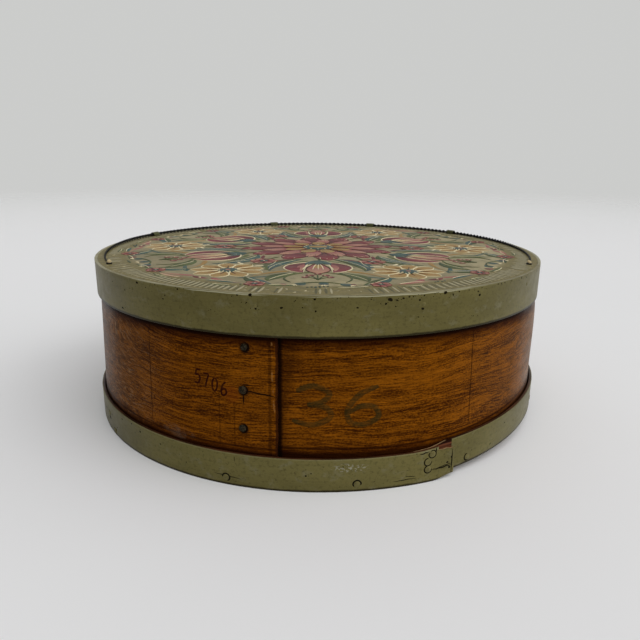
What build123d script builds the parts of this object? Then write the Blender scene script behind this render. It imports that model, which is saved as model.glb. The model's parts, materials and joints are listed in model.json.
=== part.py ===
from build123d import *
import math
import os

# A round bentwood cheese box with a painted lid.
# Lengths are in millimetres. The box stands on z = 0, its axis is Z and its front faces -Y.
# Angles are in degrees, anticlockwise from +X seen from above, so the front is at -90.

# Driving dimensions
box_height = 128.0
lid_diameter = 376.0

# Fits
wood_gap = 0.2
nail_gap = 0.05
lid_clearance = 0.35
overrun = 1.0
full_turn = 360.0

# Side: one bent sheet, whose outer end laps over its inner end at the front
side_thickness = 4.0
side_outer_angle = -97.5
side_inner_angle = -127.5
side_level_angle = -60.0
side_foot_left = 1.0
side_foot_right = 8.5
rise_shares = (0.0, 0.25, 0.5, 0.75, 1.0)

# Bottom planks
plank_thickness = 9.0
plank_foot = 5.5
plank_joint_gap = 0.4
plank_joint_shares = (-0.3, 0.36)

# Bottom hoop: its inner end climbs the side, so only the rest of it stands on the table
hoop_overhang = 3.3
hoop_width = 23.0
hoop_thickness = 2.2
hoop_outer_angle = -61.0
hoop_lap_angle = 29.0
hoop_tongue_angle = 13.0
hoop_tip_thickness = 0.6
hoop_foot_rise = 9.5
hoop_top_rise = 8.0
hoop_peak_angle = -15.0
hoop_level_angle = 50.0

# Lid
lid_board_thickness = 9.0
lid_hoop_width = 26.5
lid_hoop_thickness = 2.2
lid_outer_angle = 128.0
lid_lap_angle = 29.0
lid_tongue_angle = 13.0
lid_tip_thickness = 0.6

# Nails: those in a lap, and all tacks of the lid, are placed by their angle from the lap's outer end
point_share = 0.2
lap_nail_head_radius = 2.75
lap_nail_head_height = 1.5
lap_nail_shank_radius = 1.1
lap_nail_clinch = 6.0
lap_nail_places = ((-6.5, 0.788), (-6.9, 0.552), (-7.0, 0.336))
tack_head_radius = 2.1
tack_head_height = 0.8
tack_shank_radius = 0.8
board_tack_length = 18.0
board_tack_places = (
    (-147.7, 0.8), (-57.4, 0.46), (-20, 0.78), (15, 0.66), (48, 0.5),
    (82, 0.5), (115, 0.5), (144, 0.5), (172, 0.5),
)
side_tack_length = 7.0
side_tack_places = ((-143.7, 0.12), (-107.9, 0.225), (-82.2, 0.23))
hoop_lap_nail_length = 8.0
hoop_lap_nail_places = ((-5.9, 0.88), (-6.8, 0.653), (-6.7, 0.42))
lid_tack_length = 12.0
lid_tack_share = 0.2
lid_tack_angles = (22, 54, 101, 130.5, 162, 194, 226, 258, 290, 320)
lid_lap_nail_length = 3.4
lid_lap_nail_angle = -7.0
lid_lap_nail_shares = (0.17, 0.5, 0.83)

# Trim wire round the back of the lid
trim_inset = 8.0
wire_radius = 1.7
wire_right_angle = -25.4
wire_left_angle = -149.8
eye_radius = 3.2
eye_thickness = 1.8
clip_angles = (37, 70, 107, 157)
clip_width = 11.0
clip_thickness = 0.8
clip_depth = 4.0
clip_gap = 0.15
end_nail_head_radius = 2.3
end_nail_head_height = 1.1
end_nail_length = 9.0

# Levels, radii and angles that follow from the sizes above
lid_board_foot = box_height - lid_board_thickness
lid_hoop_foot = box_height - lid_hoop_width
lid_radius = lid_diameter / 2
hoop_radius = lid_radius + hoop_overhang
hoop_inner_radius = hoop_radius - hoop_thickness
lid_inner_radius = lid_radius - lid_hoop_thickness
lid_board_radius = lid_inner_radius - wood_gap
side_tuck = side_thickness + wood_gap
side_foot_radius = hoop_inner_radius - wood_gap
side_fit_radius = lid_inner_radius - lid_clearance
trim_radius = lid_radius - trim_inset
hoop_start_angle = hoop_outer_angle - hoop_lap_angle
hoop_tip_angle = hoop_outer_angle - hoop_tongue_angle
lid_start_angle = lid_outer_angle - lid_lap_angle
lid_tip_angle = lid_outer_angle - lid_tongue_angle

# A side that tapers in is tightest at the lid's lower edge, one that flares is tightest at its top
side_fit_height = lid_hoop_foot if side_foot_radius > side_fit_radius else lid_board_foot
side_taper = (side_foot_radius - side_fit_radius) / side_fit_height


def polar(radius, angle):
    return (radius * math.cos(math.radians(angle)), radius * math.sin(math.radians(angle)))


def along(angle):
    """Direction in which an anticlockwise circle runs at this angle."""
    return polar(1, angle + full_turn / 4)


def ease(share):
    share = min(max(share, 0), 1)
    return share * share * (3 - 2 * share)


def arc(radius, first, last):
    return ThreePointArc(polar(radius, first), polar(radius, (first + last) / 2), polar(radius, last))


def round_edges(radius, first, last):
    """A long stretch of a circle, as two arcs."""
    middle = (first + last) / 2
    return [arc(radius, first, middle), arc(radius, middle, last)]


def side_radius(height):
    return side_foot_radius - side_taper * height


def sheet_edges(radius):
    """One face of the side seen from above: tucked under the lap, easing out, then round to the end."""
    low = radius - side_tuck
    swing = side_level_angle - side_outer_angle
    rise = [polar(low + side_tuck * ease(q), side_outer_angle + swing * q) for q in rise_shares]
    return [
        arc(low, side_inner_angle, side_outer_angle),
        ThreePointArc(*rise[:3]),
        ThreePointArc(*rise[2:]),
        *round_edges(radius, side_level_angle, side_outer_angle + full_turn),
    ]


def sheet_section(height):
    """The bent sheet, cut level at this height."""
    outer = side_radius(height)
    inner = outer - side_thickness
    ends = [
        Line(polar(inner - side_tuck, side_inner_angle), polar(outer - side_tuck, side_inner_angle)),
        Line(polar(inner, side_outer_angle), polar(outer, side_outer_angle)),
    ]
    return Pos(0, 0, height) * make_face([*sheet_edges(outer), *sheet_edges(inner), *ends])


def side_blank():
    """The side before it is nailed, with its foot cut a little out of level."""
    sheet = loft([sheet_section(0), sheet_section(lid_board_foot)], ruled=True)
    foot = (side_foot_left + side_foot_right) / 2
    lean = (side_foot_left - side_foot_right) / (2 * side_foot_radius)
    return split(sheet, bisect_by=Plane(origin=(0, 0, foot), z_dir=(lean, 0, 1)), keep=Keep.TOP)


def bottom_blank():
    """The planks' common outline, which fits the lapped side from inside."""
    radius = side_radius(plank_foot + plank_thickness) - side_thickness - wood_gap
    low = radius - side_tuck
    step_angle = side_inner_angle - math.degrees(wood_gap / radius)
    edges = sheet_edges(radius)
    outline = [
        arc(low, step_angle, side_inner_angle),
        *edges[:3],
        *round_edges(radius, side_level_angle, step_angle + full_turn),
        Line(polar(radius, step_angle), polar(low, step_angle)),
    ]
    return Pos(0, 0, plank_foot) * extrude(make_face(outline), plank_thickness)


def plank_slabs():
    """The slab of space that each plank fills, from the front to the back."""
    joints = [share * hoop_radius for share in plank_joint_shares]
    fronts = [-hoop_radius, *[joint + plank_joint_gap / 2 for joint in joints]]
    backs = [*[joint - plank_joint_gap / 2 for joint in joints], hoop_radius]
    middle = plank_foot + plank_thickness / 2
    return [
        Pos(0, (front + back) / 2, middle) * Box(2 * hoop_radius, back - front, 2 * plank_thickness)
        for front, back in zip(fronts, backs)
    ]


def lap_arc(radius, stand_off, start, end):
    """Arc that leaves a circle at one angle and stands off it at another."""
    return TangentArc(polar(radius, start), polar(radius + stand_off, end), tangent=along(start))


def lap_edges(outer, thickness, start, end):
    """The end of a band, which leaves its circle to lie over the band's other end."""
    inner = outer - thickness
    stand_off = thickness + wood_gap
    return [
        lap_arc(outer, stand_off, start, end),
        Line(polar(outer + stand_off, end), polar(inner + stand_off, end)),
        lap_arc(inner, stand_off, start, end),
    ]


def scarf_edges(outer, thickness, root, tip_angle, tip_thickness):
    """The thinned end of a band, which lies under the lap."""
    inner = outer - thickness
    tip = [polar(inner, tip_angle), polar(inner + tip_thickness, tip_angle)]
    return Polyline(*tip, polar(outer, root)).edges()


def lap_seat(outer, thickness, start, end, angle, height):
    """Plane on the outside of a lap, facing outwards."""
    swing = math.radians(end - start)
    reach = outer + thickness + wood_gap
    depth = reach * math.cos(swing) - outer
    width = reach * math.sin(swing)
    bend = -(depth * depth + width * width) / (2 * depth)
    offset = outer - bend
    turn = math.radians(angle - start)
    radius = offset * math.cos(turn) + math.sqrt(bend * bend - (offset * math.sin(turn)) ** 2)
    centre = polar(offset, start)
    point = polar(radius, angle)
    facing = (point[0] - centre[0], point[1] - centre[1], 0)
    return Plane(origin=(*point, height), z_dir=facing)


def climb_plane(level, rise):
    """Tilted plane at a level where the bottom hoop starts to climb, and higher by its rise at the peak."""
    swing = math.radians(hoop_level_angle - hoop_peak_angle)
    reach = rise / (1 - math.cos(swing))
    slope = polar(-reach / hoop_radius, hoop_peak_angle)
    return Plane(origin=(0, 0, level + rise - reach), z_dir=(*slope, 1))


def hoop_blank():
    """The bottom hoop: a level band with the lap, and the climbing rest of it with the tongue."""
    joint = Line(polar(hoop_inner_radius, hoop_level_angle), polar(hoop_radius, hoop_level_angle))
    lap_root = hoop_start_angle + full_turn
    level_face = make_face([
        joint,
        *round_edges(hoop_radius, hoop_level_angle, lap_root),
        *round_edges(hoop_inner_radius, hoop_level_angle, lap_root),
        *lap_edges(hoop_radius, hoop_thickness, hoop_start_angle, hoop_outer_angle),
    ])
    climb_face = make_face([
        joint,
        *round_edges(hoop_radius, hoop_outer_angle, hoop_level_angle),
        *round_edges(hoop_inner_radius, hoop_tip_angle, hoop_level_angle),
        *scarf_edges(hoop_radius, hoop_thickness, hoop_outer_angle, hoop_tip_angle, hoop_tip_thickness),
    ])
    climb = extrude(climb_face, hoop_width + hoop_top_rise + overrun)
    climb = split(climb, bisect_by=climb_plane(0, hoop_foot_rise), keep=Keep.TOP)
    climb = split(climb, bisect_by=climb_plane(hoop_width, hoop_top_rise), keep=Keep.BOTTOM)
    return extrude(level_face, hoop_width) + climb


def lid_hoop_blank():
    lap_root = lid_start_angle + full_turn
    face = make_face([
        *round_edges(lid_radius, lid_outer_angle, lap_root),
        *round_edges(lid_inner_radius, lid_tip_angle, lap_root),
        *lap_edges(lid_radius, lid_hoop_thickness, lid_start_angle, lid_outer_angle),
        *scarf_edges(lid_radius, lid_hoop_thickness, lid_outer_angle, lid_tip_angle, lid_tip_thickness),
    ])
    return Pos(0, 0, lid_hoop_foot) * extrude(face, lid_hoop_width)


def nail(head_radius, head_height, shank_radius, length):
    """A nail that points down -Z, with the underside of its domed head at the origin."""
    point = length * point_share
    profile = make_face([
        *Polyline((0, -length), (shank_radius, point - length), (shank_radius, 0), (head_radius, 0)).edges(),
        TangentArc((0, head_height), (head_radius, 0), tangent=(1, 0)),
        Line((0, head_height), (0, -length)),
    ])
    return revolve(Plane.XZ * profile, axis=Axis.Z)


def nail_hole(shank_radius, length):
    hole = Cylinder(shank_radius + nail_gap, length + overrun + nail_gap)
    return Pos(0, 0, overrun - hole_middle(length)) * hole


def hole_middle(length):
    """How far below its open end a nail hole has its middle."""
    return (length + overrun + nail_gap) / 2


def seat(radius, angle, height, taper=0):
    """Plane on a round surface, facing outwards, with its X axis along the surface."""
    facing = (*polar(1, angle), taper)
    return Plane(origin=(*polar(radius, angle), height), x_dir=(*along(angle), 0), z_dir=facing)


def tack(length):
    return nail(tack_head_radius, tack_head_height, tack_shank_radius, length)


def hoop_seat(angle, height):
    """Plane on the outside of the bottom hoop, on its lap or beside it."""
    if hoop_start_angle < angle < hoop_outer_angle:
        return lap_seat(hoop_radius, hoop_thickness, hoop_start_angle, hoop_outer_angle, angle, height)
    return seat(hoop_radius, angle, height)


def tack_seats():
    """Seat and length of each tack round the bottom hoop."""
    high = [(angle, plank_foot + share * plank_thickness) for angle, share in board_tack_places]
    boards = [(hoop_seat(angle, height), board_tack_length) for angle, height in high]
    low = [(angle, share * hoop_width) for angle, share in side_tack_places]
    sides = [(hoop_seat(angle, height), side_tack_length) for angle, height in low]
    return boards + sides


def hoop_lap_seats():
    places = [(hoop_outer_angle + swing, share * hoop_width) for swing, share in hoop_lap_nail_places]
    return [hoop_seat(angle, height) for angle, height in places]


def side_lap_seats():
    places = [(side_outer_angle + swing, share * lid_board_foot) for swing, share in lap_nail_places]
    return [seat(side_radius(height), angle, height, side_taper) for angle, height in places]


def lid_tack_seats():
    height = lid_board_foot + lid_tack_share * lid_board_thickness
    return [seat(lid_radius, lid_outer_angle + swing, height) for swing in lid_tack_angles]


def lid_lap_seats():
    angle = lid_outer_angle + lid_lap_nail_angle
    heights = [lid_hoop_foot + share * lid_hoop_width for share in lid_lap_nail_shares]
    return [
        lap_seat(lid_radius, lid_hoop_thickness, lid_start_angle, lid_outer_angle, angle, height)
        for height in heights
    ]


def clinched_nail():
    """A nail that goes through both layers of the side, with its point bent over inside."""
    bend_depth = 2 * side_thickness + wood_gap + nail_gap + lap_nail_shank_radius
    head = nail(lap_nail_head_radius, lap_nail_head_height, lap_nail_shank_radius, bend_depth)
    shank = Pos(0, 0, -bend_depth / 2) * Cylinder(lap_nail_shank_radius, bend_depth)
    elbow = Pos(0, 0, -bend_depth) * Sphere(lap_nail_shank_radius)
    hook = Pos(0, lap_nail_clinch / 2, -bend_depth) * Rot(90, 0, 0)
    return head + shank + elbow + hook * Cylinder(lap_nail_shank_radius, lap_nail_clinch)


def hoop_holes():
    tacks = [place * nail_hole(tack_shank_radius, length) for place, length in tack_seats()]
    return tacks + [place * nail_hole(tack_shank_radius, hoop_lap_nail_length) for place in hoop_lap_seats()]


def lid_holes():
    tacks = [place * nail_hole(tack_shank_radius, lid_tack_length) for place in lid_tack_seats()]
    return tacks + [place * nail_hole(tack_shank_radius, lid_lap_nail_length) for place in lid_lap_seats()]


def make_side():
    through = 2 * side_thickness + wood_gap
    laps = [place * nail_hole(lap_nail_shank_radius, through) for place in side_lap_seats()]
    return side_blank() - hoop_holes() - laps


def make_planks():
    board = bottom_blank() - hoop_holes()
    return [board & slab for slab in plank_slabs()]


def clip_plane(angle):
    """Plane across the trim wire at this angle: X points outwards and Y up."""
    back = along(angle)
    centre = (*polar(trim_radius, angle), box_height + nail_gap + wire_radius)
    return Plane(origin=centre, x_dir=(*polar(1, angle), 0), z_dir=(-back[0], -back[1], 0))


def clip_legs(play):
    """The clip's two legs, or with some play the slots that hold them."""
    middle = wire_radius + clip_gap + clip_thickness / 2
    height = wire_radius + nail_gap + clip_depth + play
    leg = Rectangle(clip_thickness + 2 * play, height, align=(Align.CENTER, Align.MAX))
    pair = Pos(-middle, 0) * leg + Pos(middle, 0) * leg
    return extrude(pair, clip_width / 2 + play, both=True)


def make_clip(angle):
    """A tin strap over the trim wire, with both legs driven into the board."""
    inner = wire_radius + clip_gap
    ring = Circle(inner + clip_thickness) - Circle(inner)
    upper = Rectangle(lid_radius, lid_radius, align=(Align.CENTER, Align.MIN))
    arch = extrude(ring & upper, clip_width / 2, both=True)
    return clip_plane(angle) * (arch + clip_legs(0))


def end_nail_place(angle):
    return Pos(*polar(trim_radius, angle), box_height + nail_gap + eye_thickness)


def make_end_nail(angle):
    shape = nail(end_nail_head_radius, end_nail_head_height, tack_shank_radius, end_nail_length)
    return end_nail_place(angle) * shape


def make_trim_wire():
    """A rod round the back of the lid, with a flat eye at each end."""
    inset = math.degrees((end_nail_head_radius + eye_radius) / 2 / trim_radius)
    first = wire_right_angle + inset
    last = wire_left_angle - inset + full_turn
    centre_height = box_height + nail_gap + wire_radius
    section = Plane.XZ * Pos(trim_radius, centre_height) * Circle(wire_radius)
    rod = Rot(0, 0, first) * revolve(section, axis=Axis.Z, revolution_arc=last - first)
    eye = Pos(0, 0, eye_thickness / 2 + nail_gap) * Cylinder(eye_radius, eye_thickness)
    for angle in (wire_right_angle, wire_left_angle):
        rod += Pos(*polar(trim_radius, angle), box_height) * eye
    for angle in (wire_right_angle, wire_left_angle):
        rod -= end_nail_place(angle) * nail_hole(tack_shank_radius, end_nail_length)
    return rod


def make_lid_board():
    board = Cylinder(lid_board_radius, lid_board_thickness, align=(Align.CENTER, Align.CENTER, Align.MAX))
    board = Pos(0, 0, box_height) * board - lid_holes()
    for angle in clip_angles:
        board -= clip_plane(angle) * clip_legs(nail_gap)
    for angle in (wire_right_angle, wire_left_angle):
        board -= end_nail_place(angle) * nail_hole(tack_shank_radius, end_nail_length)
    return board


def group(shapes):
    return Compound(children=[solid for shape in shapes for solid in shape.solids()])


def make_box_body():
    planks = make_planks()
    return {
        "box_side": make_side(),
        "bottom_plank_front": planks[0],
        "bottom_plank_middle": planks[1],
        "bottom_plank_back": planks[2],
        "bottom_hoop": hoop_blank() - hoop_holes(),
        "side_lap_nails": group(place * clinched_nail() for place in side_lap_seats()),
        "hoop_lap_nails": group(place * tack(hoop_lap_nail_length) for place in hoop_lap_seats()),
        "hoop_tacks": group(place * tack(length) for place, length in tack_seats()),
    }


def make_lid_body():
    parts = {
        "lid_board": make_lid_board(),
        "lid_hoop": lid_hoop_blank() - lid_holes(),
        "lid_tacks": group(place * tack(lid_tack_length) for place in lid_tack_seats()),
        "lid_lap_nails": group(place * tack(lid_lap_nail_length) for place in lid_lap_seats()),
        "trim_wire": make_trim_wire(),
        "wire_end_nail_right": make_end_nail(wire_right_angle),
        "wire_end_nail_left": make_end_nail(wire_left_angle),
    }
    for number, angle in enumerate(clip_angles, 1):
        parts[f"wire_clip_{number}"] = make_clip(angle)
    return parts


os.makedirs("parts", exist_ok=True)
for name, shape in {**make_box_body(), **make_lid_body()}.items():
    export_step(shape, f"parts/{name}.step")
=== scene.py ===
import json
import math
import random
from bisect import bisect_left
from collections import namedtuple

import bpy
from bpy.props import FloatProperty, FloatVectorProperty, PointerProperty
from mathutils import Matrix, Vector

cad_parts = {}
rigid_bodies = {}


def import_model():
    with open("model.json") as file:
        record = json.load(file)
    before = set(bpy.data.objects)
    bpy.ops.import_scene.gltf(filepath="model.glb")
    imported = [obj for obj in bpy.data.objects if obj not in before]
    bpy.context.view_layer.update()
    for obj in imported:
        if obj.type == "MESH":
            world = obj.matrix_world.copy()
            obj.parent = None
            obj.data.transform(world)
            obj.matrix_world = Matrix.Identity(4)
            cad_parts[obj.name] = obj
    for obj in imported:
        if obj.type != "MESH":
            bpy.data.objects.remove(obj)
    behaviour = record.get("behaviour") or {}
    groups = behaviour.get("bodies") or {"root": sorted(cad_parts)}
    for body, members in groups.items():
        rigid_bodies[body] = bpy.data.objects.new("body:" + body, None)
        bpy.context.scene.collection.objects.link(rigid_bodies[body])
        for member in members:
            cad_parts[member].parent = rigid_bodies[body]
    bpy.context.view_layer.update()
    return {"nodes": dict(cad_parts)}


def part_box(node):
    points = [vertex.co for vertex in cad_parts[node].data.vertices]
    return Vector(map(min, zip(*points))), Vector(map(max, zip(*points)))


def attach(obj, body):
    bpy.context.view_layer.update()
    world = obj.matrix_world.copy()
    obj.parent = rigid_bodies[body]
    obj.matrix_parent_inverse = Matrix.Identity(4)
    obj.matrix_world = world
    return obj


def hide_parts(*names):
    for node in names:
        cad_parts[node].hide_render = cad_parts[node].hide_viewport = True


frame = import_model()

bl_info = {
    "name": "Round cheese box",
    "version": (1, 0, 0),
    "blender": (4, 5, 0),
    "location": "3D View > Sidebar > Cheese box",
    "description": "Makes a lapped bentwood cheese box with painted bands and a painted lid",
    "category": "Add Mesh",
}

# The frame's sizes, which the defaults below come from
lid_hoop_low, lid_hoop_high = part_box("lid_hoop")
wire_low, wire_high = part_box("trim_wire")
board_high, side_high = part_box("lid_board")[1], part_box("box_side")[1]
hoop_reach = -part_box("bottom_hoop")[0].y

mm = 0.001

# Angles in degrees, anticlockwise from +X seen from above, so the front is at -90
side_inner_end, side_outer_end, side_level_angle = -127.5, -97.5, -60.0
hoop_tip_angle, hoop_root_angle, hoop_outer_end, hoop_lap_start = -74.0, -62.0, -61.7, 270.0
hoop_peak_angle, hoop_level_angle = -15.0, 50.0
lid_tip_angle, lid_outer_end, lid_lap_start = 115.0, 128.0, 459.0
wire_right_end, wire_left_end = -25.4, 210.2
clip_angles = (37, 70, 107, 157)

# Angle and height of each nail and tack
side_nail_places = ((-104.0, 0.09377), (-104.4, 0.06569), (-104.5, 0.03998))
hoop_lap_nail_places = ((293.1, 0.02024), (292.2, 0.01502), (292.3, 0.00966))
hoop_tack_places = (
    (212.3, 0.0127), (-57.4, 0.00964), (-20, 0.01252), (15, 0.01144), (48, 0.01), (82, 0.01), (115, 0.01),
    (144, 0.01), (172, 0.01), (216.3, 0.00276), (252.1, 0.00518), (277.8, 0.00529),
)
lid_tack_places = [(128 + swing, 0.1208) for swing in (22, 54, 101, 130.5, 162, 194, 226, 258, 290, 320)]

# Angle, height in mm and size in mm of each chip in a hoop's paint
lid_chip_places = (
    (-131.1, 121.2, 0.7), (-123.4, 127.0, 0.5), (-117.5, 126.4, 0.8), (-135.3, 105.3, 1.1), (-104.8, 126.6, 0.7),
    (-102.4, 127.6, 1.2), (-101.6, 120.6, 1.0), (-101.3, 119.0, 0.9), (-103.0, 122.6, 0.5), (-90.6, 125.8, 0.8),
    (-80.4, 125.6, 0.5), (-77.6, 122.5, 0.8), (-76.8, 125.0, 1.5), (-75.5, 124.5, 0.7), (-74.3, 125.4, 0.8),
    (-73.1, 125.9, 0.7), (-72.3, 126.0, 0.5), (-70.9, 123.6, 0.8), (-70.0, 126.2, 0.7), (-67.8, 126.6, 0.5),
    (-65.5, 126.9, 1.4), (-63.6, 124.9, 0.6), (-62.2, 126.4, 0.6), (-59.7, 126.5, 0.5), (-57.2, 124.8, 0.7),
    (-56.2, 126.8, 0.5), (-51.2, 127.2, 0.6), (-50.0, 127.0, 0.5), (-48.9, 127.2, 0.5), (-46.1, 127.2, 0.6),
    (-41.5, 127.0, 0.8), (-38.7, 126.1, 0.7), (-71.0, 113.0, 0.5), (-86.0, 126.9, 0.4), (-94.0, 125.0, 0.4),
    (-110.2, 116.0, 0.4), (-58.0, 109.0, 0.5), (-30.0, 126.0, 0.7), (-22.0, 125.0, 0.6),
)
hoop_chip_places = (
    (212.6, 9.6, 2.2), (216.6, 3.8, 1.5), (221.4, 19.0, 0.7), (229.3, 18.2, 0.8), (268.0, 11.8, 0.7),
    (269.0, 13.5, 0.5), (-44.6, 22.3, 0.7), (-40.2, 19.0, 0.6), (-50.0, 11.4, 0.6), (296.6, 11.7, 0.9),
    (297.2, 7.8, 1.0), (297.6, 15.0, 0.8), (236.0, 16.0, 0.6), (243.0, 9.0, 0.5), (275.0, 18.0, 0.5),
    (206.5, 17.5, 1.0), (208.6, 12.5, 1.3), (210.4, 5.8, 1.1), (214.6, 14.2, 0.8), (217.8, 7.6, 0.6),
    (204.6, 9.0, 0.9), (226.0, 20.6, 0.7), (-31.0, 16.5, 0.6), (-25.5, 13.0, 0.7), (-20.0, 19.0, 0.8),
    (60.0, 12.0, 0.9), (100.0, 17.0, 0.8), (150.0, 8.0, 0.9),
)

# First and last angle and height in mm, half width in mm and unevenness in mm of each crack in the bottom hoop
hoop_cracks = (
    (293.0, 8.6, 297.7, 9.3, 0.60, 0.30), (294.4, 9.3, 297.8, 10.8, 0.36, 0.25),
    (290.2, 21.2, 292.4, 22.4, 0.52, 0.25), (285.0, 4.4, 289.7, 5.0, 0.34, 0.25),
    (287.4, 7.3, 289.6, 5.9, 0.30, 0.25), (249.6, 6.9, 255.2, 5.4, 0.34, 0.25),
    (254.0, 21.2, 254.0, 17.4, 0.24, 0.1), (297.75, 21.0, 297.75, 3.2, 0.55, 0.1),
    (293.9, 24.4, 293.9, 20.5, 0.55, 0.1),
)


def size(text, default):
    return FloatProperty(name=text, default=default, min=0, unit="LENGTH", precision=4)


def colour(text, default):
    return FloatVectorProperty(name=text, default=default, subtype="COLOR", size=3, min=0, max=1)


class CheeseBoxSizes(bpy.types.PropertyGroup):
    """Sizes of the cheese box"""

    side_foot_radius: size("Side radius at the table", hoop_reach - 2.4 * mm)
    side_height: size("Side height", side_high.z)
    side_thickness: size("Side thickness", 4 * mm)
    side_lean: FloatProperty(name="Side lean for its height", default=0.034)
    hoop_radius: size("Bottom hoop radius", hoop_reach - 0.08 * mm)
    hoop_width: size("Bottom hoop width", 23 * mm)
    hoop_rise_foot: size("Climb of the bottom hoop's foot", 9.5 * mm)
    hoop_rise_top: size("Climb of the bottom hoop's top", 8 * mm)
    band_thickness: size("Thickness of both hoops", 2.2 * mm)
    lid_radius: size("Lid radius", lid_hoop_high.x)
    lid_top: size("Height of the lid's painted face", board_high.z)
    lid_hoop_width: size("Lid hoop width", lid_hoop_high.z - lid_hoop_low.z)
    wire_radius: size("Radius of the trim wire's circle", 180 * mm)
    wire_thickness: size("Trim wire thickness", wire_high.z - wire_low.z)
    wire_lay: size("Length of one twist of the wire", 9.8 * mm)


class CheeseBoxColours(bpy.types.PropertyGroup):
    """Colours of the cheese box"""

    wood_light: colour("Light grain of the side", (0.236, 0.073, 0.003))
    wood_dark: colour("Dark grain of the side", (0.036, 0.0080, 0.0005))
    bare_wood: colour("Wood inside the box", (0.36, 0.23, 0.11))
    band: colour("Paint on the hoops", (0.137, 0.118, 0.041))
    band_worn: colour("Rubbed edges of the hoops", (0.34, 0.32, 0.20))
    ground: colour("Ground of the lid", (0.318, 0.270, 0.152))
    rim: colour("Ground of the lid's border", (0.183, 0.150, 0.057))
    maroon: colour("Dark petals", (0.112, 0.024, 0.027))
    rose: colour("Light petals", (0.285, 0.095, 0.085))
    teal: colour("Blue leaves", (0.045, 0.092, 0.078))
    slate: colour("Flower centres", (0.060, 0.080, 0.076))
    leaf: colour("Light leaves", (0.095, 0.115, 0.040))
    moss: colour("Dark leaves", (0.046, 0.062, 0.022))
    ochre: colour("Yellow petals", (0.300, 0.175, 0.050))
    cream: colour("Outlines", (0.76, 0.66, 0.42))
    umber: colour("Dark lines", (0.036, 0.022, 0.016))
    straw: colour("Light strokes of the border", (0.360, 0.322, 0.200))
    olive: colour("Dark strokes of the border", (0.092, 0.085, 0.038))
    iron: colour("Nails in the side's lap", (0.016, 0.0125, 0.0065))
    black: colour("Trim wire", (0.010, 0.010, 0.010))


# Helpers for modelling

Path = namedtuple("Path", "guide angles runs")
Stroke = namedtuple("Stroke", "points widths level")


def sizes():
    return bpy.context.scene.cheese_box_sizes


def colours():
    return bpy.context.scene.cheese_box_colours


def alone(*pieces):
    """Selects only these pieces, the last one active."""
    for other in bpy.context.view_layer.objects:
        other.select_set(False)
    for piece in pieces:
        piece.select_set(True)
        bpy.context.view_layer.objects.active = piece


def named(name):
    """The object that an operator has just added, under its own name."""
    piece = bpy.context.object
    piece.name = piece.data.name = name
    return piece


def settle(piece):
    """Puts a piece's place, turn and size into its mesh."""
    alone(piece)
    bpy.ops.object.transform_apply(location=True, rotation=True, scale=True)


def added(name, primitive, scale=(1, 1, 1), **settings):
    """A new piece made by one of Blender's primitives."""
    bpy.ops.object.select_all(action="DESELECT")
    primitive(**settings)
    piece = named(name)
    piece.scale = scale
    settle(piece)
    return piece


def linked(name, data):
    piece = bpy.data.objects.new(name, data)
    bpy.context.collection.objects.link(piece)
    return piece


def apply_modifier(piece, kind, **settings):
    alone(piece)
    bpy.ops.object.modifier_add(type=kind)
    modifier = piece.modifiers[-1]
    for key, value in settings.items():
        setattr(modifier, key, value)
    bpy.ops.object.modifier_apply(modifier=modifier.name)


def in_edit(piece, operator, **settings):
    """Runs one edit-mode operator on a whole piece."""
    alone(piece)
    bpy.ops.object.mode_set(mode="EDIT")
    bpy.ops.mesh.select_all(action="SELECT")
    operator(**settings)
    bpy.ops.object.mode_set(mode="OBJECT")


def tidy(piece):
    """Merges doubles and turns all faces outwards."""
    in_edit(piece, bpy.ops.mesh.remove_doubles, threshold=0.002 * mm)
    in_edit(piece, bpy.ops.mesh.normals_make_consistent, inside=False)


def reshape(piece, rule):
    """Moves each point of a piece by a rule, for forms that no single tool bends."""
    for point in piece.data.vertices:
        point.co = rule(*point.co)
    piece.data.update()


def raise_by(piece, height):
    reshape(piece, lambda x, y, z: (x, y, z + height))


def keep_flat(piece):
    """Keeps each point's place before bending, so that grain and wear follow the strip."""
    flat = piece.data.attributes.new("flat", "FLOAT_VECTOR", "POINT")
    flat.data.foreach_set("vector", [c for point in piece.data.vertices for c in point.co])


def join(name, pieces):
    alone(*pieces)
    bpy.ops.object.join()
    return named(name)


def copy_of(piece, place=Matrix()):
    """A piece's twin, moved and turned."""
    twin = linked(piece.name, piece.data.copy())
    twin.matrix_world = place
    settle(twin)
    return twin


def discard(*things):
    alone(*things)
    bpy.ops.object.delete()


def on_body(piece, body, material, replaces=(), smooth=35):
    """Gives a piece its finish, its body and the CAD nodes that it stands for."""
    alone(piece)
    bpy.ops.object.shade_smooth_by_angle(angle=math.radians(smooth))
    piece.data.materials.clear()
    piece.data.materials.append(material)
    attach(piece, body)
    if replaces:
        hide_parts(*replaces)


def dress(node, material):
    """Gives a CAD node its finish."""
    piece = frame["nodes"][node]
    if not piece.material_slots:
        piece.data.materials.append(material)
    for slot in piece.material_slots:
        slot.material = material


def polar(radius, angle, height=0.0):
    turn = math.radians(angle)
    return Vector((radius * math.cos(turn), radius * math.sin(turn), height))


def ease(share):
    share = min(max(share, 0), 1)
    return share * share * (3 - 2 * share)


def curve(name, lines, **settings):
    """A curve of straight pieces through each line of points."""
    data = bpy.data.curves.new(name, "CURVE")
    for key, value in settings.items():
        setattr(data, key, value)
    for line in lines:
        spline = data.splines.new("POLY")
        spline.points.add(len(line) - 1)
        for target, point in zip(spline.points, line):
            target.co = (*point, 1)
    return linked(name, data)


def bend_path(name, radius_at, first, last):
    """A line round the box's axis, which a flat strip's outer face is bent along."""
    count = round((last - first) / 0.5)
    angles = [first + (last - first) * number / count for number in range(count + 1)]
    points = [polar(radius_at(angle), angle) for angle in angles]
    runs = [0.0]
    for before, after in zip(points, points[1:]):
        runs.append(runs[-1] + (after - before).length)
    return Path(curve(name, [points], dimensions="3D", twist_mode="Z_UP"), angles, runs)


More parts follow.
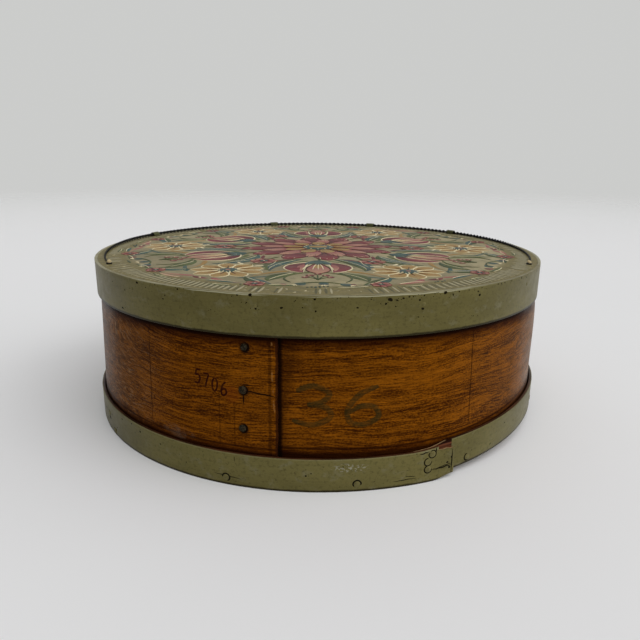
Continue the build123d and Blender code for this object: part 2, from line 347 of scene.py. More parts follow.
def between(value, known, wanted):
    """Straight-line reading of a table, carried on past its ends."""
    above = min(max(bisect_left(known, value), 1), len(known) - 1)
    share = (value - known[above - 1]) / (known[above] - known[above - 1])
    return wanted[above - 1] + share * (wanted[above] - wanted[above - 1])


def run_to(path, angle):
    """Distance along the path at an angle."""
    return between(angle, path.angles, path.runs)


def bend(piece, path):
    apply_modifier(piece, "CURVE", object=path.guide, deform_axis="POS_X")


def strip(name, length, height, thickness, columns, rows):
    """A flat board that stands on its long edge along X, with its outer face at y = 0."""
    board = added(name, bpy.ops.mesh.primitive_grid_add, (length, height, 1), x_subdivisions=columns,
                  y_subdivisions=rows, size=1, location=(length / 2, 0, height / 2), rotation=(math.pi / 2, 0, 0))
    in_edit(board, bpy.ops.mesh.extrude_region_move, TRANSFORM_OT_translate={"value": (0, thickness, 0)})
    tidy(board)
    return board


def cut(piece, place, facing):
    """Cuts a piece along a plane and closes it; what lies on the facing side goes."""
    in_edit(piece, bpy.ops.mesh.bisect, plane_co=place, plane_no=facing, use_fill=True, clear_outer=True,
            threshold=1e-7)


def thin_tongue(board, root):
    """Slopes the inner face of a band's inner end, from its root to its tip."""
    cut(board, (root, 0, 0), (0.6 * mm - sizes().band_thickness, -root, 0))


def soften(piece, width, segments=2):
    apply_modifier(piece, "BEVEL", width=width, segments=segments, limit_method="ANGLE",
                   angle_limit=math.radians(40), use_clamp_overlap=True)


def waver(piece, amount, scale, direction="Y"):
    """Small unevenness of handwork."""
    clouds = bpy.data.textures.new("waver", "CLOUDS")
    clouds.noise_scale = scale
    clouds.noise_depth = 2
    apply_modifier(piece, "DISPLACE", texture=clouds, texture_coords="LOCAL", direction=direction,
                   mid_level=0.5, strength=amount)
    bpy.data.textures.remove(clouds)


# The cross-sections that strokes are drawn with, in shares of a stroke's half width
brushes = {
    "broad": ((-1, -0.035), (1, -0.035), (0.94, 0.0), (0.5, 0.028), (-0.5, 0.028), (-0.94, 0.0)),
    "fine": ((-1, -0.7), (1, -0.7), (0.8, 0.12), (0, 0.3), (-0.8, 0.12)),
    "mark": ((-1, -0.2), (1, -0.2), (0.8, 0.02), (0, 0.06), (-0.8, 0.02)),
}


def drawn(name, strokes, brush):
    """Strokes on the XY plane as one mesh: their widths are half widths, their level is a height."""
    profile = curve(name + "_brush", [[(*corner, 0) for corner in brushes[brush]]], dimensions="2D")
    profile.data.splines[0].use_cyclic_u = True
    lines = [[(*point, stroke.level) for point in stroke.points] for stroke in strokes]
    piece = curve(name, lines, dimensions="3D", twist_mode="Z_UP", bevel_mode="OBJECT", bevel_object=profile,
                  use_fill_caps=True)
    for spline, stroke in zip(piece.data.splines, strokes):
        for target, width in zip(spline.points, stroke.widths):
            target.radius = max(width, 0.03 * mm)
    alone(piece)
    bpy.ops.object.convert(target="MESH")
    piece = named(name)
    discard(profile)
    tidy(piece)
    return piece


# Helpers for finishes


class Value:
    """What a node gives: sums and steps on it add the nodes that work them out."""

    def __init__(self, finish, socket):
        self.finish, self.socket = finish, socket

    def __add__(self, other):
        return self.finish.math("ADD", self, other)

    def __sub__(self, other):
        return self.finish.math("SUBTRACT", self, other)

    def __rsub__(self, other):
        return self.finish.math("SUBTRACT", other, self)

    def __mul__(self, other):
        return self.finish.math("MULTIPLY", self, other)

    def __abs__(self):
        return self.finish.math("ABSOLUTE", self)

    __radd__, __rmul__ = __add__, __mul__

    def split(self):
        return [Value(self.finish, part) for part in self.finish.node("SeparateXYZ", {0: self}).outputs]

    def up(self, low, high, start=0.0, end=1.0):
        """Smooth step from one value to another."""
        given = dict(enumerate((self, low, high, start, end)))
        return self.finish.give("MapRange", given, interpolation_type="SMOOTHSTEP")

    def down(self, low, high):
        return self.up(low, high, 1.0, 0.0)

    def sway(self, amount):
        """A cloud's value as a shift to both sides."""
        return (self - 0.5) * amount

    def span(self, path, *angles):
        """1 between two angles of a strip, with a slope at each end."""
        first, second, third, fourth = (run_to(path, angle) for angle in angles)
        return self.up(first, second) * self.down(third, fourth)

    def spot(self, z, at_x, at_z, wide, high, ragged=0.0):
        """Soft-edged patch on a strip, 1 in its middle."""
        across, up = (self - at_x) * (1 / wide), (z - at_z) * (1 / high)
        return (across * across + up * up + ragged).down(0.2, 1.4)

    def noise(self, stretch, detail=3, rough=0.55, shift=(0, 0, 0)):
        """Clouds, as fine in each direction as its stretch is high."""
        place = self.finish.give("Mapping", {"Vector": self, "Scale": stretch, "Location": shift})
        given = {"Vector": place, "Scale": 1, "Detail": detail, "Roughness": rough}
        return self.finish.give("TexNoise", given, "Fac")

    def coats(self, *layers):
        """This colour under others, each laid on by its share and its strength."""
        base = self
        for share, strength, tone in layers:
            base = self.finish.mix(share * strength, base, tone)
        return base


class Nodes:
    """A node tree and the calls that add to it."""

    def __init__(self, tree):
        self.tree, self.count = tree, 0

    def feed(self, value, socket):
        if isinstance(value, Value):
            self.tree.links.new(value.socket, socket)
        else:
            socket.default_value = (*value, 1) if socket.type == "RGBA" else value

    def node(self, kind, inputs, **settings):
        made = self.tree.nodes.new("ShaderNode" + kind)
        self.count += 1
        made.location = (-220 * (self.count % 12) - 300, -260 * (self.count // 12))
        for key, value in settings.items():
            setattr(made, key, value)
        for key, value in inputs.items():
            self.feed(value, made.inputs[key])
        return made

    def give(self, kind, inputs, output=0, **settings):
        return Value(self, self.node(kind, inputs, **settings).outputs[output])

    def place(self):
        return self.give("TexCoord", {}, "Object")

    def flat(self):
        return self.give("Attribute", {}, "Vector", attribute_name="flat")

    def across(self):
        """A stroke's own directions: along it, and round its section."""
        return self.give("UVMap", {}, "UV").split()[:2]

    def vector(self, *parts):
        return self.give("CombineXYZ", dict(enumerate(parts)))

    def math(self, operation, a, b=0.5):
        return self.give("Math", {0: a, 1: b}, operation=operation)

    def mix(self, share, a, b):
        return self.give("Mix", {0: share, 6: a, 7: b}, 2, data_type="RGBA")

    def grazing(self, front, side, start=0.62, full=1.0):
        """Shine that grows where the surface turns away from the eye."""
        return self.give("LayerWeight", {}, "Facing").up(start, full, front, side)


class Finish(Nodes):
    """A material, whose shader's sockets are fed last."""

    def __init__(self, name):
        self.material = bpy.data.materials.new(name)
        self.material.use_nodes = True
        super().__init__(self.material.node_tree)
        self.shader = self.tree.nodes["Principled BSDF"]

    def paint(self, base, rough, relief, strength, depth, shine):
        """Joins the colour, roughness, relief and shine to the shader."""
        bumps = self.give("Bump", {"Strength": strength, "Distance": depth, "Height": relief})
        ends = {"Base Color": base, "Roughness": rough, "Normal": bumps, "Specular IOR Level": shine}
        for key, value in ends.items():
            self.feed(value, self.shader.inputs[key])
        return self.material


def times(tone, share):
    """A darker or lighter tone."""
    return [part * share for part in tone]


def raw_wood(f, place, stretch, share):
    """Bare wood with fibres."""
    bare = colours().bare_wood
    return f.mix(place.noise(stretch, 4, 0.6).up(0.3, 0.7), times(bare, share), bare)


def off_middle(f):
    """How far a place is from the middle line of a stroke."""
    return abs((f.across()[1] - 0.6) * 2.5)


def wood_grain(f, flat):
    """Colour and relief of the varnished sheet: bands, streaks, fibres and dark pores along the bend, with painted
    glints, and a painted sheen on the zones of curly figure towards both sides.
    """
    light, dark, side = colours().wood_light, colours().wood_dark, paths["side"]
    x, y, z = flat.split()
    # Zones of curly figure towards both sides, where the side turns from the eye; the pale tones laid on them below
    # are painted sheen
    figure_and_sheen = x.span(side, -48, -18, 15, 60) + x.span(side, 135, 180, 214, 244)
    curling = flat.noise((30, 1, 70)) * (figure_and_sheen * 0.012 + 0.0035)
    short = 0.0
    for start, end in ((run_to(side, first), run_to(side, last)) for first, last in ((-42, 30), (165, 231))):
        short = f.math("MINIMUM", f.math("MAXIMUM", x - start, 0.0), end - start) + short
    sway = flat.noise((5.5, 1, 14), 2) * 0.030
    place = f.vector(x + short * 1.6, y, z * (1.0 - figure_and_sheen * 0.24) + (sway + curling))
    bands = place.noise((8, 3, 140), 4, 0.62)
    streaks = place.noise((26, 12, 760), 3, 0.62)
    fibres = place.noise((80, 40, 1500), 3, 0.72)
    specks = place.noise((620, 50, 1150), 2, 0.6, (5, 0, 3))
    pores = place.noise((60, 50, 1500), 2, 0.6, (3, 0, 5)).up(0.55, 0.66)
    glints = place.noise((90, 50, 1500), 3, 0.65, (8, 0, 1)).up(0.54, 0.66)
    curly = place.noise((38, 50, 760), 5, 0.72, (4, 0, 7))
    dirt = flat.noise((18, 1, 30), 5, 0.6, (7, 0, 2)).up(0.42, 0.74)
    fine = fibres + (specks - fibres) * (figure_and_sheen * 0.44 + 0.44)
    tone = bands * 0.22 + streaks * 0.24 + fine * 0.54
    narrow = figure_and_sheen * 0.052
    base = f.mix(tone.up(narrow + 0.423, 0.577 - narrow), dark, light).coats(
        (pores, 0.62, times(dark, 0.35)),
        (glints, 0.55, times(light, 1.7)),
        (curly.up(0.50, 0.57) * figure_and_sheen, 0.80, times(dark, 0.8)),
        # Pale curly flecks: painted sheen on the ridges of the figure
        (curly.up(0.47, 0.40) * figure_and_sheen, 0.42, (0.36, 0.225, 0.125)),
        (dirt, 0.30, times(dark, 0.7)),
        # Paler greyish tone on the zones of curly figure: painted sheen
        (figure_and_sheen, 0.22, (0.165, 0.108, 0.060)),
        # Greyer towards the right: painted sheen where the side turns from the eye
        (x.span(side, -68, -14, 40, 90), 0.17, (0.27, 0.19, 0.115)),
    )
    return base, streaks * 0.6 + fibres * 0.4 - pores * 0.6


def ground_paint(f, place):
    """The lid's aged ground: cloudy grey inside a khaki rim, with faint ridges, flakes and small stains."""
    tones = colours()
    x, y, z = place.split()
    clouds = place.noise((9, 12, 1), 5, 0.65)
    ridges = place.noise((9, 420, 1), 3, 0.6)
    mottle = place.noise((170, 170, 1), 5, 0.7)
    green = place.noise((15, 22, 1), 4, 0.6, (5, 2, 0))
    flaked = place.noise((150, 190, 1), 4, 0.7, (9, 4, 0))
    stains = place.noise((38, 38, 1), 5, 0.7, (4, 9, 0))
    reach = f.math("SQRT", x * x + y * y)
    uneven = reach + clouds.sway(6 * mm)
    on_rim = uneven.up(160 * mm, 168 * mm)
    joint = abs(reach - (sizes().lid_radius - sizes().band_thickness))
    base = f.mix(clouds.up(0.35, 0.66), times(tones.ground, 0.72), times(tones.ground, 1.14)).coats(
        (green.up(0.45, 0.66), 0.55, (0.205, 0.195, 0.110)),
        (uneven.up(158 * mm, 166 * mm), 1, tones.rim),
        (ridges.up(0.5, 0.72), 0.40, times(tones.ground, 0.50)),
        (mottle.up(0.48, 0.66), 0.50, (0.125, 0.112, 0.058)),
        (flaked.up(0.52, 0.62) * on_rim, 0.55, (0.095, 0.088, 0.042)),
        (flaked.up(0.40, 0.30) * on_rim, 0.6, (0.46, 0.42, 0.28)),
        (stains.up(0.58, 0.74), 0.5, (0.100, 0.062, 0.036)),
        (joint.down(0.15 * mm, 0.75 * mm), 0.35, tones.band_worn),
    )
    return base, ridges * 0.7 + mottle * 0.3


def stroke_paint(name, tone, tip):
    """Brushed paint on the lid: streaks along the stroke, a second tone towards its end, and wear."""
    f = Finish(name)
    place = f.place()
    along, across = f.across()
    hairs = f.vector(along * 2.5, across * 30, place.split()[0] * 60).noise((1, 1, 1), 3, 0.6)
    patchy = place.noise((60, 150, 1), 4, 0.6, (5, 5, 0))
    rub = place.noise((46, 190, 1), 6, 0.72, (1, 3, 0))
    under, relief = ground_paint(f, place)
    base = f.mix((along + hairs * 0.5).up(0.55, 1.25), tone, tip).coats(
        (hairs.up(0.45, 0.7), 0.35, times(tone, 0.55)),
        (patchy.up(0.5, 0.7), 0.35, times(tip, 1.1)),
        (rub.up(0.54, 0.70), 0.62, under),
    )
    return f.paint(base, patchy.up(0.3, 0.8, 0.42, 0.62), relief + hairs * 0.4, 0.35, 0.2 * mm, 0.06)


def band_tones(f, flat, width, on_lid=False):
    """The hoops' paint: brushed olive green with speckles, pale lines at the top of worn paint and painted
    highlight, a foot darkened by dirt and painted contact shadow, and on the bottom hoop a top face of bare wood
    darkened as painted shade.
    """
    band, worn = colours().band, colours().band_worn
    x, y, z = flat.split()
    fading = flat.noise((11, 40, 26), 5, 0.6)
    brush = flat.noise((30, 80, 700), 3, 0.6)
    blotch = flat.noise((90, 90, 120), 5, 0.65, (2, 1, 4))
    speckle = flat.noise((380, 380, 430), 4, 0.7, (1, 5, 2))
    pits = flat.noise((330, 60, 420), 3, 0.6, (6, 2, 6))
    from_top = width - z
    # Pale line near the top: worn paint and painted highlight
    worn_and_highlit = (from_top + blotch.sway(1.4 * mm)).down(0.25 * mm, 0.85 * mm) * fading.up(0.36, 0.58)
    upward = from_top.down(0.08 * mm, 0.30 * mm) * y.up(0.35 * mm, 0.65 * mm)
    # Thin pale line right at the top edge: painted highlight and worn paint
    edge = from_top.down(0.02 * mm, 0.45 * mm) * fading.up(0.44, 0.52)
    # Darker along the foot: dirt and painted contact shadow
    foot = (z + blotch.sway(2.0 * mm)).down(0.9 * mm, 2.0 * mm)
    if on_lid:
        top = ground_paint(f, f.place())[0]
    else:
        # The bottom hoop's top face: bare wood, darkened as painted shade
        fibres = flat.noise((30, 200, 60), 4, 0.65)
        top = f.mix(fibres.up(0.3, 0.7), (0.018, 0.006, 0.003), (0.085, 0.030, 0.012))
    base = f.mix(fading.up(0.33, 0.68), times(band, 0.82), times(band, 1.14)).coats(
        (brush.up(0.50, 0.72), 0.26, times(band, 0.66)),
        (blotch.up(0.53, 0.70), 0.44, times(worn, 0.55)),
        (speckle.up(0.49, 0.66), 0.50, times(band, 0.5)),
        (pits.up(0.645, 0.69), 0.34 if on_lid else 0.6, (0.020, 0.017, 0.008)),
        (worn_and_highlit, 0.42 if on_lid else 0.16, worn),
        (upward, 1, top),
        (edge, 0.45 if on_lid else 0, worn),
        (foot, 0.88, (0.020, 0.016, 0.008)),
    )
    return base, brush * 0.5 + blotch * 0.5, blotch


def varnished_wood():
    side, dark = paths["side"], colours().wood_dark
    f = Finish("varnished_wood")
    flat = f.flat()
    x, y, z = flat.split()
    grain, relief = wood_grain(f, flat)
    cloud = flat.noise((30, 1, 90), 5, 0.65, (2, 2, 2))
    ripple = flat.noise((40, 1, 900), 4, 0.65, (6, 6, 6))
    worn = flat.noise((90, 1, 110), 4, 0.75, (3, 8, 1))
    above = z - (x.span(side, -76, -22, -8, 52) * sizes().hoop_rise_top + sizes().hoop_width)
    gully = abs(above + ripple.sway(2.5 * mm) - 4.2 * mm).down(0.2 * mm, 1.2 * mm)
    shaky = cloud.sway(2.2 * mm)
    gap = x - run_to(side, side_outer_end) + shaky
    higher = z.up(40 * mm, 92 * mm)
    left = run_to(side, side_outer_end + 360) - x
    ragged = left + shaky
    inset = ragged - higher * (1.8 * mm)

    def patch(angle, height, wide, high, uneven, shift=0.0):
        return x.spot(z, run_to(side, angle) + shift, height * mm, wide * mm, high * mm, cloud.sway(uneven))

    layers = [
        # Darker towards the bottom hoop, with a dark line of painted shade in the crease just above it
        ((above + cloud.sway(16 * mm)).down(1.5 * mm, 10 * mm), 0.62, (0.028, 0.0045, 0.0006)),
        ((above + cloud.sway(2 * mm)).down(0.5 * mm, 2.2 * mm), 0.75, (0.014, 0.003, 0.0008)),
        (gully * x.up(run_to(side, -118), run_to(side, -96)), 0.7, (0.012, 0.002, 0.0006)),
        # Painted shadow under the lid's hoop, darkest right under its edge
        ((z + cloud.sway(8 * mm)).up(90 * mm, 98.5 * mm), 0.82, (0.018, 0.0025, 0.0005)),
        (z.up(97.2 * mm, 99.6 * mm), 0.88, times(dark, 0.15)),
        # Painted shadow cast by the lap's step on the sheet beyond its outer end: soft and wide, then deep near the
        # end
        ((gap - (higher * (9 * mm) + 9 * mm)).down(-10 * mm, 0.5 * mm), 0.5, times(dark, 0.45)),
        (gap.down(0.9 * mm, 3.3 * mm), 0.92, (0.006, 0.002, 0.0006)),
        # Pale strip just inside the lap's end: worn wood and painted highlight
        (inset.up(1.2 * mm, 1.6 * mm) * inset.down(2.1 * mm, 2.7 * mm) * worn.up(0.50, 0.58), 0.7,
         (0.26, 0.115, 0.030)),
        (ragged.down(1.1 * mm, 1.7 * mm), 0.85, (0.024, 0.006, 0.002)),
        (ragged.up(3.6 * mm, 4.4 * mm) * ragged.down(5.4 * mm, 6.6 * mm), 0.5, times(dark, 0.4)),
        (patch(240.5, 28.5, 13, 4.5, 2.5) * worn.up(0.35, 0.6), 0.42, (0.150, 0.100, 0.066)),
        (patch(253.2, 62, 6, 6, 3.0), 0.40, (0.150, 0.030, 0.003)),
    ]
    for angle, wide, low, high, share in ((-56.7, 0.9, 30, 104, 0.5), (250.6, 0.9, 24, 70, 0.4),
                                          (253.8, 0.8, 24, 62, 0.4), (232.8, 0.8, 24, 104, 0.35)):
        line = abs(x - run_to(side, angle) + shaky * 0.3).down(0.2 * mm, wide * mm)
        tall = z.up(low * mm, (low + 6) * mm) * z.down((high - 12) * mm, high * mm)
        layers.append((line * tall, share, times(dark, 0.4)))
    # Painted shadow of each side nail's head, a little below and to the right of it
    for angle, height in side_nail_places:
        nail_head_shadow = patch(360 + angle, height / mm - 0.5, 3.7, 3.7, 0.8, 0.5 * mm)
        layers.append((nail_head_shadow, 0.92, (0.006, 0.002, 0.0008)))
    inner = y.up(1.2 * mm, 2 * mm) * left.up(2.5 * mm, 4 * mm)
    base = grain.coats(*layers, (inner, 1, raw_wood(f, flat, (16, 10, 420), 0.55)))
    rough = cloud.up(0.3, 0.75, 0.36, 0.50) + inner * 0.25
    return f.paint(base, rough, relief, 0.55, 0.25 * mm, f.grazing(0.008, 0.15))


def painted_band(name, width, root=None):
    """A hoop's paint; the bottom hoop's is missing from its inner end up to its root."""
    f = Finish(name)
    flat = f.flat()
    x, y, z = flat.split()
    base, relief, blotch = band_tones(f, flat, width, root is None)
    if root is None:
        # Broken pale line along the lid hoop's top edge at the front: worn paint and painted highlight
        wander = z + flat.noise((60, 1, 60), 2, 0.55, (2, 0, 2)).sway(1.2 * mm)
        line = (wander.up(width - 1.05 * mm, width - 0.75 * mm)
                * wander.down(width - 0.45 * mm, width - 0.2 * mm))
        layers = [(line * x.spot(z, run_to(paths["lid"], middle), width, reach * mm, 40 * mm), 0.85,
                   (0.42, 0.40, 0.27)) for middle, reach in ((284, 54), (252, 26))]
    else:
        hoop = paths["hoop"]
        streaks = flat.noise((16, 10, 520), 4, 0.65)
        grey = (z + streaks.sway(1.5 * mm)).up(20.9 * mm, 21.7 * mm)
        bare = f.mix(streaks.up(0.40, 0.60), (0.030, 0.008, 0.004), (0.150, 0.050, 0.022))
        flecked = flat.noise((420, 1, 620), 3, 0.6, (4, 0, 4)).up(0.52, 0.60)
        scuffs = x.spot(z, run_to(hoop, 276.4), 17 * mm, 12 * mm, 3.2 * mm)
        layers = [
            (x.down(root - 0.2 * mm, root + 0.2 * mm), 1, bare.coats((grey, 1, (0.016, 0.004, 0.002)))),
            (scuffs * flecked, 0.55, (0.40, 0.39, 0.32)),
            # Darker towards the hoop's right end: painted shade where it turns from the eye
            (x.span(hoop, -54, -24, 20, 60), 0.30, (0.030, 0.026, 0.012)),
        ]
    inner = y.up(1 * mm, 1.8 * mm) * z.down(width - 0.5 * mm, width - 0.2 * mm)
    base = base.coats(*layers, (inner, 1, raw_wood(f, flat, (16, 10, 420), 0.5)))
    rough = blotch.up(0.3, 0.75, 0.36, 0.52)
    return f.paint(base, rough, relief, 0.45, 0.3 * mm, f.grazing(0.03, 0.25, 0.25, 0.9))


def dark_line(name, tone, width=None):
    """A crack or scar that fades at its sides into a hoop's paint or, without a width, into the wood."""
    f = Finish(name)
    flat = f.flat()
    beneath, relief = (band_tones(f, flat, width) if width else wood_grain(f, flat))[:2]
    share = (off_middle(f) + flat.noise((900, 900, 900)).sway(0.9)).down(0.45, 1.05)
    return f.paint(f.mix(share, beneath, tone), 0.5, relief, 0.3, 0.2 * mm, f.grazing(0.01, 0.15))


def crayon(name, tone, strength):
    """Crayon or ink that catches on the raised grain."""
    f = Finish(name)
    flat = f.flat()
    beneath, relief = wood_grain(f, flat)
    grip = flat.noise((120, 40, 1100), 4, 0.7, (1, 1, 1))
    patches = flat.noise((90, 40, 90), 3, 0.55, (3, 1, 1))
    share = (off_middle(f) + grip.sway(1.6)).down(0.40, 1.10) * (grip + patches).up(0.70, 1.15, 0.30, 1.0)
    base = beneath.coats((share, strength, tone))
    return f.paint(base, 0.45, relief, 0.55, 0.25 * mm, f.grazing(0.008, 0.15))


def lid_ground():
    f = Finish("painted_lid")
    place = f.place()
    base, relief = ground_paint(f, place)
    top = sizes().lid_top
    low = place.split()[2].down(top - 1.6 * mm, top - 0.8 * mm)
    base = base.coats((low, 1, raw_wood(f, place, (16, 420, 40), 0.55)))
    return f.paint(base, 0.5, relief, 0.4, 0.3 * mm, 0.06)


def bare_planks():
    f = Finish("bare_wood")
    place = f.place()
    x, y, z = place.split()
    lines = f.vector(x, y + place.noise((3, 9, 3), 2) * 0.03, z)
    rings = lines.noise((2.5, 130, 40), 3, 0.6)
    fibres = lines.noise((18, 900, 300), 4, 0.65)
    stains = place.noise((14, 14, 14), 5, 0.65).up(0.48, 0.75)
    bare = colours().bare_wood
    base = f.mix((rings * 0.6 + fibres * 0.4).up(0.32, 0.66), times(bare, 0.48), bare)
    base = base.coats((stains, 0.5, (0.12, 0.070, 0.030)))
    return f.paint(base, fibres.up(0.3, 0.7, 0.62, 0.8), fibres + rings * 0.5, 0.5, 0.3 * mm, 0.3)


def dark_iron(name, tone, rust):
    f = Finish(name)
    pits = f.place().noise((900, 900, 900), 4, 0.6)
    patches = f.place().noise((350, 350, 350), 3, 0.5)
    base = f.mix(pits.up(0.42, 0.62), times(tone, 0.6), times(tone, 2.5)).coats((patches.up(0.5, 0.7), 0.5, rust))
    return f.paint(base, pits.up(0.3, 0.7, 0.38, 0.62), pits + patches, 0.6, 0.3 * mm, 0.05)


def painted_over(name, tone, bare):
    """Green paint over metal, worn through on the high spots."""
    f = Finish(name)
    cloud = f.place().noise((450, 450, 450), 4, 0.6)
    worn = f.place().noise((700, 700, 700), 5, 0.7)
    base = f.mix(cloud.up(0.35, 0.7), times(tone, 0.8), times(tone, 1.2)).coats((worn.up(0.58, 0.68), 0.8, bare))
    return f.paint(base, worn.up(0.3, 0.7, 0.38, 0.6), cloud + worn, 0.5, 0.25 * mm, 0.12)


def wire_black():
    f = Finish("black_wire")
    cloud = f.place().noise((600, 600, 600), 4, 0.6)
    specks = f.place().noise((1500, 1500, 1500), 5, 0.7)
    black = colours().black
    base = f.mix(cloud.up(0.4, 0.7), black, times(black, 2.0))
    base = base.coats((specks.up(0.60, 0.68), 0.6, (0.046, 0.040, 0.020)))
    return f.paint(base, cloud.up(0.3, 0.7, 0.35, 0.55), specks, 0.4, 0.15 * mm, 0.12)


# Paths that the strips are bent along, made once
paths = {}


def lapped(radius, tip, lap_start, outer_end):
    """A band's guide: a circle that it leaves where its lap starts, to stand off it at its outer end."""
    reach = radius + sizes().band_thickness + 0.2 * mm
    swing = math.radians(outer_end + 360 - lap_start)
    depth, width = reach * math.cos(swing) - radius, reach * math.sin(swing)
    bow = -(depth * depth + width * width) / (2 * depth)
    offset = radius - bow

    def radius_at(angle):
        turn = math.radians(max(angle - lap_start, 0))
        return offset * math.cos(turn) + math.sqrt(bow * bow - (offset * math.sin(turn)) ** 2)

    return radius_at, tip, outer_end + 360


def make_paths():
    given = sizes()
    tuck = given.side_thickness + 0.2 * mm

    def side_at(angle):
        share = (angle - side_outer_end) / (side_level_angle - side_outer_end)
        return given.side_foot_radius - tuck * (1 - ease(share))

    for name, guide in (
        ("side", (side_at, side_inner_end, side_outer_end + 360)),
        ("hoop", lapped(given.hoop_radius, hoop_tip_angle, hoop_lap_start, hoop_outer_end)),
        ("lid", lapped(given.lid_radius, lid_tip_angle, lid_lap_start, lid_outer_end)),
        ("wire", (lambda angle: given.wire_radius, wire_right_end, wire_left_end)),
    ):
        paths[name] = bend_path(name + "_guide", *guide)


def lean_in(piece):
    """The side leans in towards its top, and bulges a little at the right."""
    lean, foot = sizes().side_lean, sizes().side_foot_radius

    def rule(x, y, z):
        turned = math.degrees(math.atan2(y, x))
        around = ease((turned + 52) / 34) * ease((40 - turned) / 30)
        up = ease((z - 30 * mm) / (58 * mm)) * ease((101.5 * mm - z) / (9 * mm))
        share = 1 - lean * z / foot + 1.7 * mm * around * up / foot
        return x * share, y * share, z

    reshape(piece, rule)


def hoop_rise(angle):
    """How far the bottom hoop's foot and top have climbed at an angle."""
    if angle > hoop_level_angle:
        return 0.0, 0.0
    level = math.cos(math.radians(hoop_level_angle - hoop_peak_angle))
    share = (math.cos(math.radians(angle - hoop_peak_angle)) - level) / (1 - level)
    return share * sizes().hoop_rise_foot, share * sizes().hoop_rise_top


def climb(piece):
    """The bottom hoop's inner end climbs the side and is cut narrower there."""
    path, width = paths["hoop"], sizes().hoop_width

    def rule(x, y, z):
        foot, top = hoop_rise(between(x, path.runs, path.angles))
        return x, y, z + foot + (top - foot) * z / width

    reshape(piece, rule)


class CHEESEBOX_OT_side(bpy.types.Operator):
    """Bends the long thin sheet round and laps it at the front"""

    bl_idname = "cheese_box.side"
    bl_label = "Side"

    def execute(self, context):
        given = sizes()
        end = paths["side"].runs[-1]
        board = strip("side_sheet", end, given.side_height, given.side_thickness, 340, 24)

        def worn_end(x, y, z):
            share = max(0.0, 1 - (end - x) / (9 * mm))
            ripple = math.sin(z * 410) * 0.25 + math.sin(z * 1130 + 1) * 0.16
            return x + share * (ripple - 0.35) * mm, y, z

        reshape(board, worn_end)
        soften(board, 0.7 * mm, 3)
        waver(board, 0.12 * mm, 0.03)
        keep_flat(board)
        bend(board, paths["side"])
        lean_in(board)
        cut(board, (0, 0, 4.75 * mm), (0.01985, 0, -1))
        on_body(board, "box", varnished_wood(), ["box_side"])
        return {"FINISHED"}


class CHEESEBOX_OT_planks(bpy.types.Operator):
    """Finishes the three bottom planks as bare wood"""

    bl_idname = "cheese_box.planks"
    bl_label = "Bottom planks"

    def execute(self, context):
        bare = bare_planks()
        for place in ("front", "middle", "back"):
            dress("bottom_plank_" + place, bare)
        return {"FINISHED"}


class CHEESEBOX_OT_bottom_hoop(bpy.types.Operator):
    """Bends the bottom hoop, with its thinned inner end, its climb and its torn outer end"""

    bl_idname = "cheese_box.bottom_hoop"
    bl_label = "Bottom hoop"

    def execute(self, context):
        width, path = sizes().hoop_width, paths["hoop"]
        length, root = path.runs[-1], run_to(path, hoop_root_angle)
        board = strip("bottom_hoop_band", length, width, sizes().band_thickness, 480, 8)
        thin_tongue(board, root)

        def sprung(x, y, z):
            up = z / width
            tip = ease((x - length + 32 * mm) / (32 * mm))
            corner = ease((x - length + 18 * mm) / (18 * mm))
            low = ease((root - x) / root / 0.45)
            return x, y, z + (2.2 * up * tip + 3.2 * (1 - up) * corner - 2.6 * up * low) * mm

        reshape(board, sprung)
        notch = added("notch", bpy.ops.mesh.primitive_cube_add, (20 * mm, 12 * mm, 8 * mm), size=1,
                      location=(length - 3 * mm, 1.7 * mm, 25.2 * mm))
        in_edit(notch, bpy.ops.mesh.subdivide, number_cuts=7)
        waver(notch, 2.4 * mm, 0.005, "Z")
        apply_modifier(board, "BOOLEAN", operation="DIFFERENCE", object=notch, solver="EXACT")
        discard(notch)
        soften(board, 0.45 * mm)
        keep_flat(board)
        climb(board)
        bend(board, path)
        on_body(board, "box", painted_band("painted_hoop", width, root), ["bottom_hoop"])
        return {"FINISHED"}


class CHEESEBOX_OT_lid_hoop(bpy.types.Operator):
    """Bends the lid's hoop and laps it at the back"""

    bl_idname = "cheese_box.lid_hoop"
    bl_label = "Lid hoop"

    def execute(self, context):
        width, path = sizes().lid_hoop_width, paths["lid"]
        board = strip("lid_hoop_band", path.runs[-1], width, sizes().band_thickness, 320, 8)
        thin_tongue(board, run_to(path, lid_outer_end))
        soften(board, 0.8 * mm, 3)
        keep_flat(board)
        bend(board, path)
        raise_by(board, sizes().lid_top - width)
        on_body(board, "lid", painted_band("painted_lid_hoop", width), ["lid_hoop"])
        return {"FINISHED"}


class CHEESEBOX_OT_lid_board(bpy.types.Operator):
    """Finishes the lid's round board with its aged ground paint"""

    bl_idname = "cheese_box.lid_board"
    bl_label = "Lid board"

    def execute(self, context):
        dress("lid_board", lid_ground())
        return {"FINISHED"}


def beaten_head(name, radius, height, uneven, facets):
    """A nail head on the XY plane, domed and beaten, with few facets or many."""
    head = added(name, bpy.ops.mesh.primitive_uv_sphere_add, (1, 1, height / radius), segments=facets,
                 ring_count=8, radius=radius)
    cut(head, (0, 0, -0.12 * height), (0, 0, -1))
    waver(head, uneven, radius * 0.7, "NORMAL")
    return head


def flat_head(radius, proud):
    """A flat tack head, painted over, whose rim is a little rounded."""
    head = added("head", bpy.ops.mesh.primitive_cylinder_add, vertices=18, radius=radius, depth=0.8 * mm,
                 location=(0, 0, proud - 0.4 * mm))
    soften(head, min(0.3 * mm, proud))
    waver(head, 0.25 * mm, radius, "Z")
    return head


def outer_face(path, angle):
    """How far a bent strip's outer face is from the axis at an angle."""
    while angle < path.angles[0]:
        angle += 360
    points = path.guide.data.splines[0].points
    return between(angle, path.angles, [point.co.xyz.length for point in points])


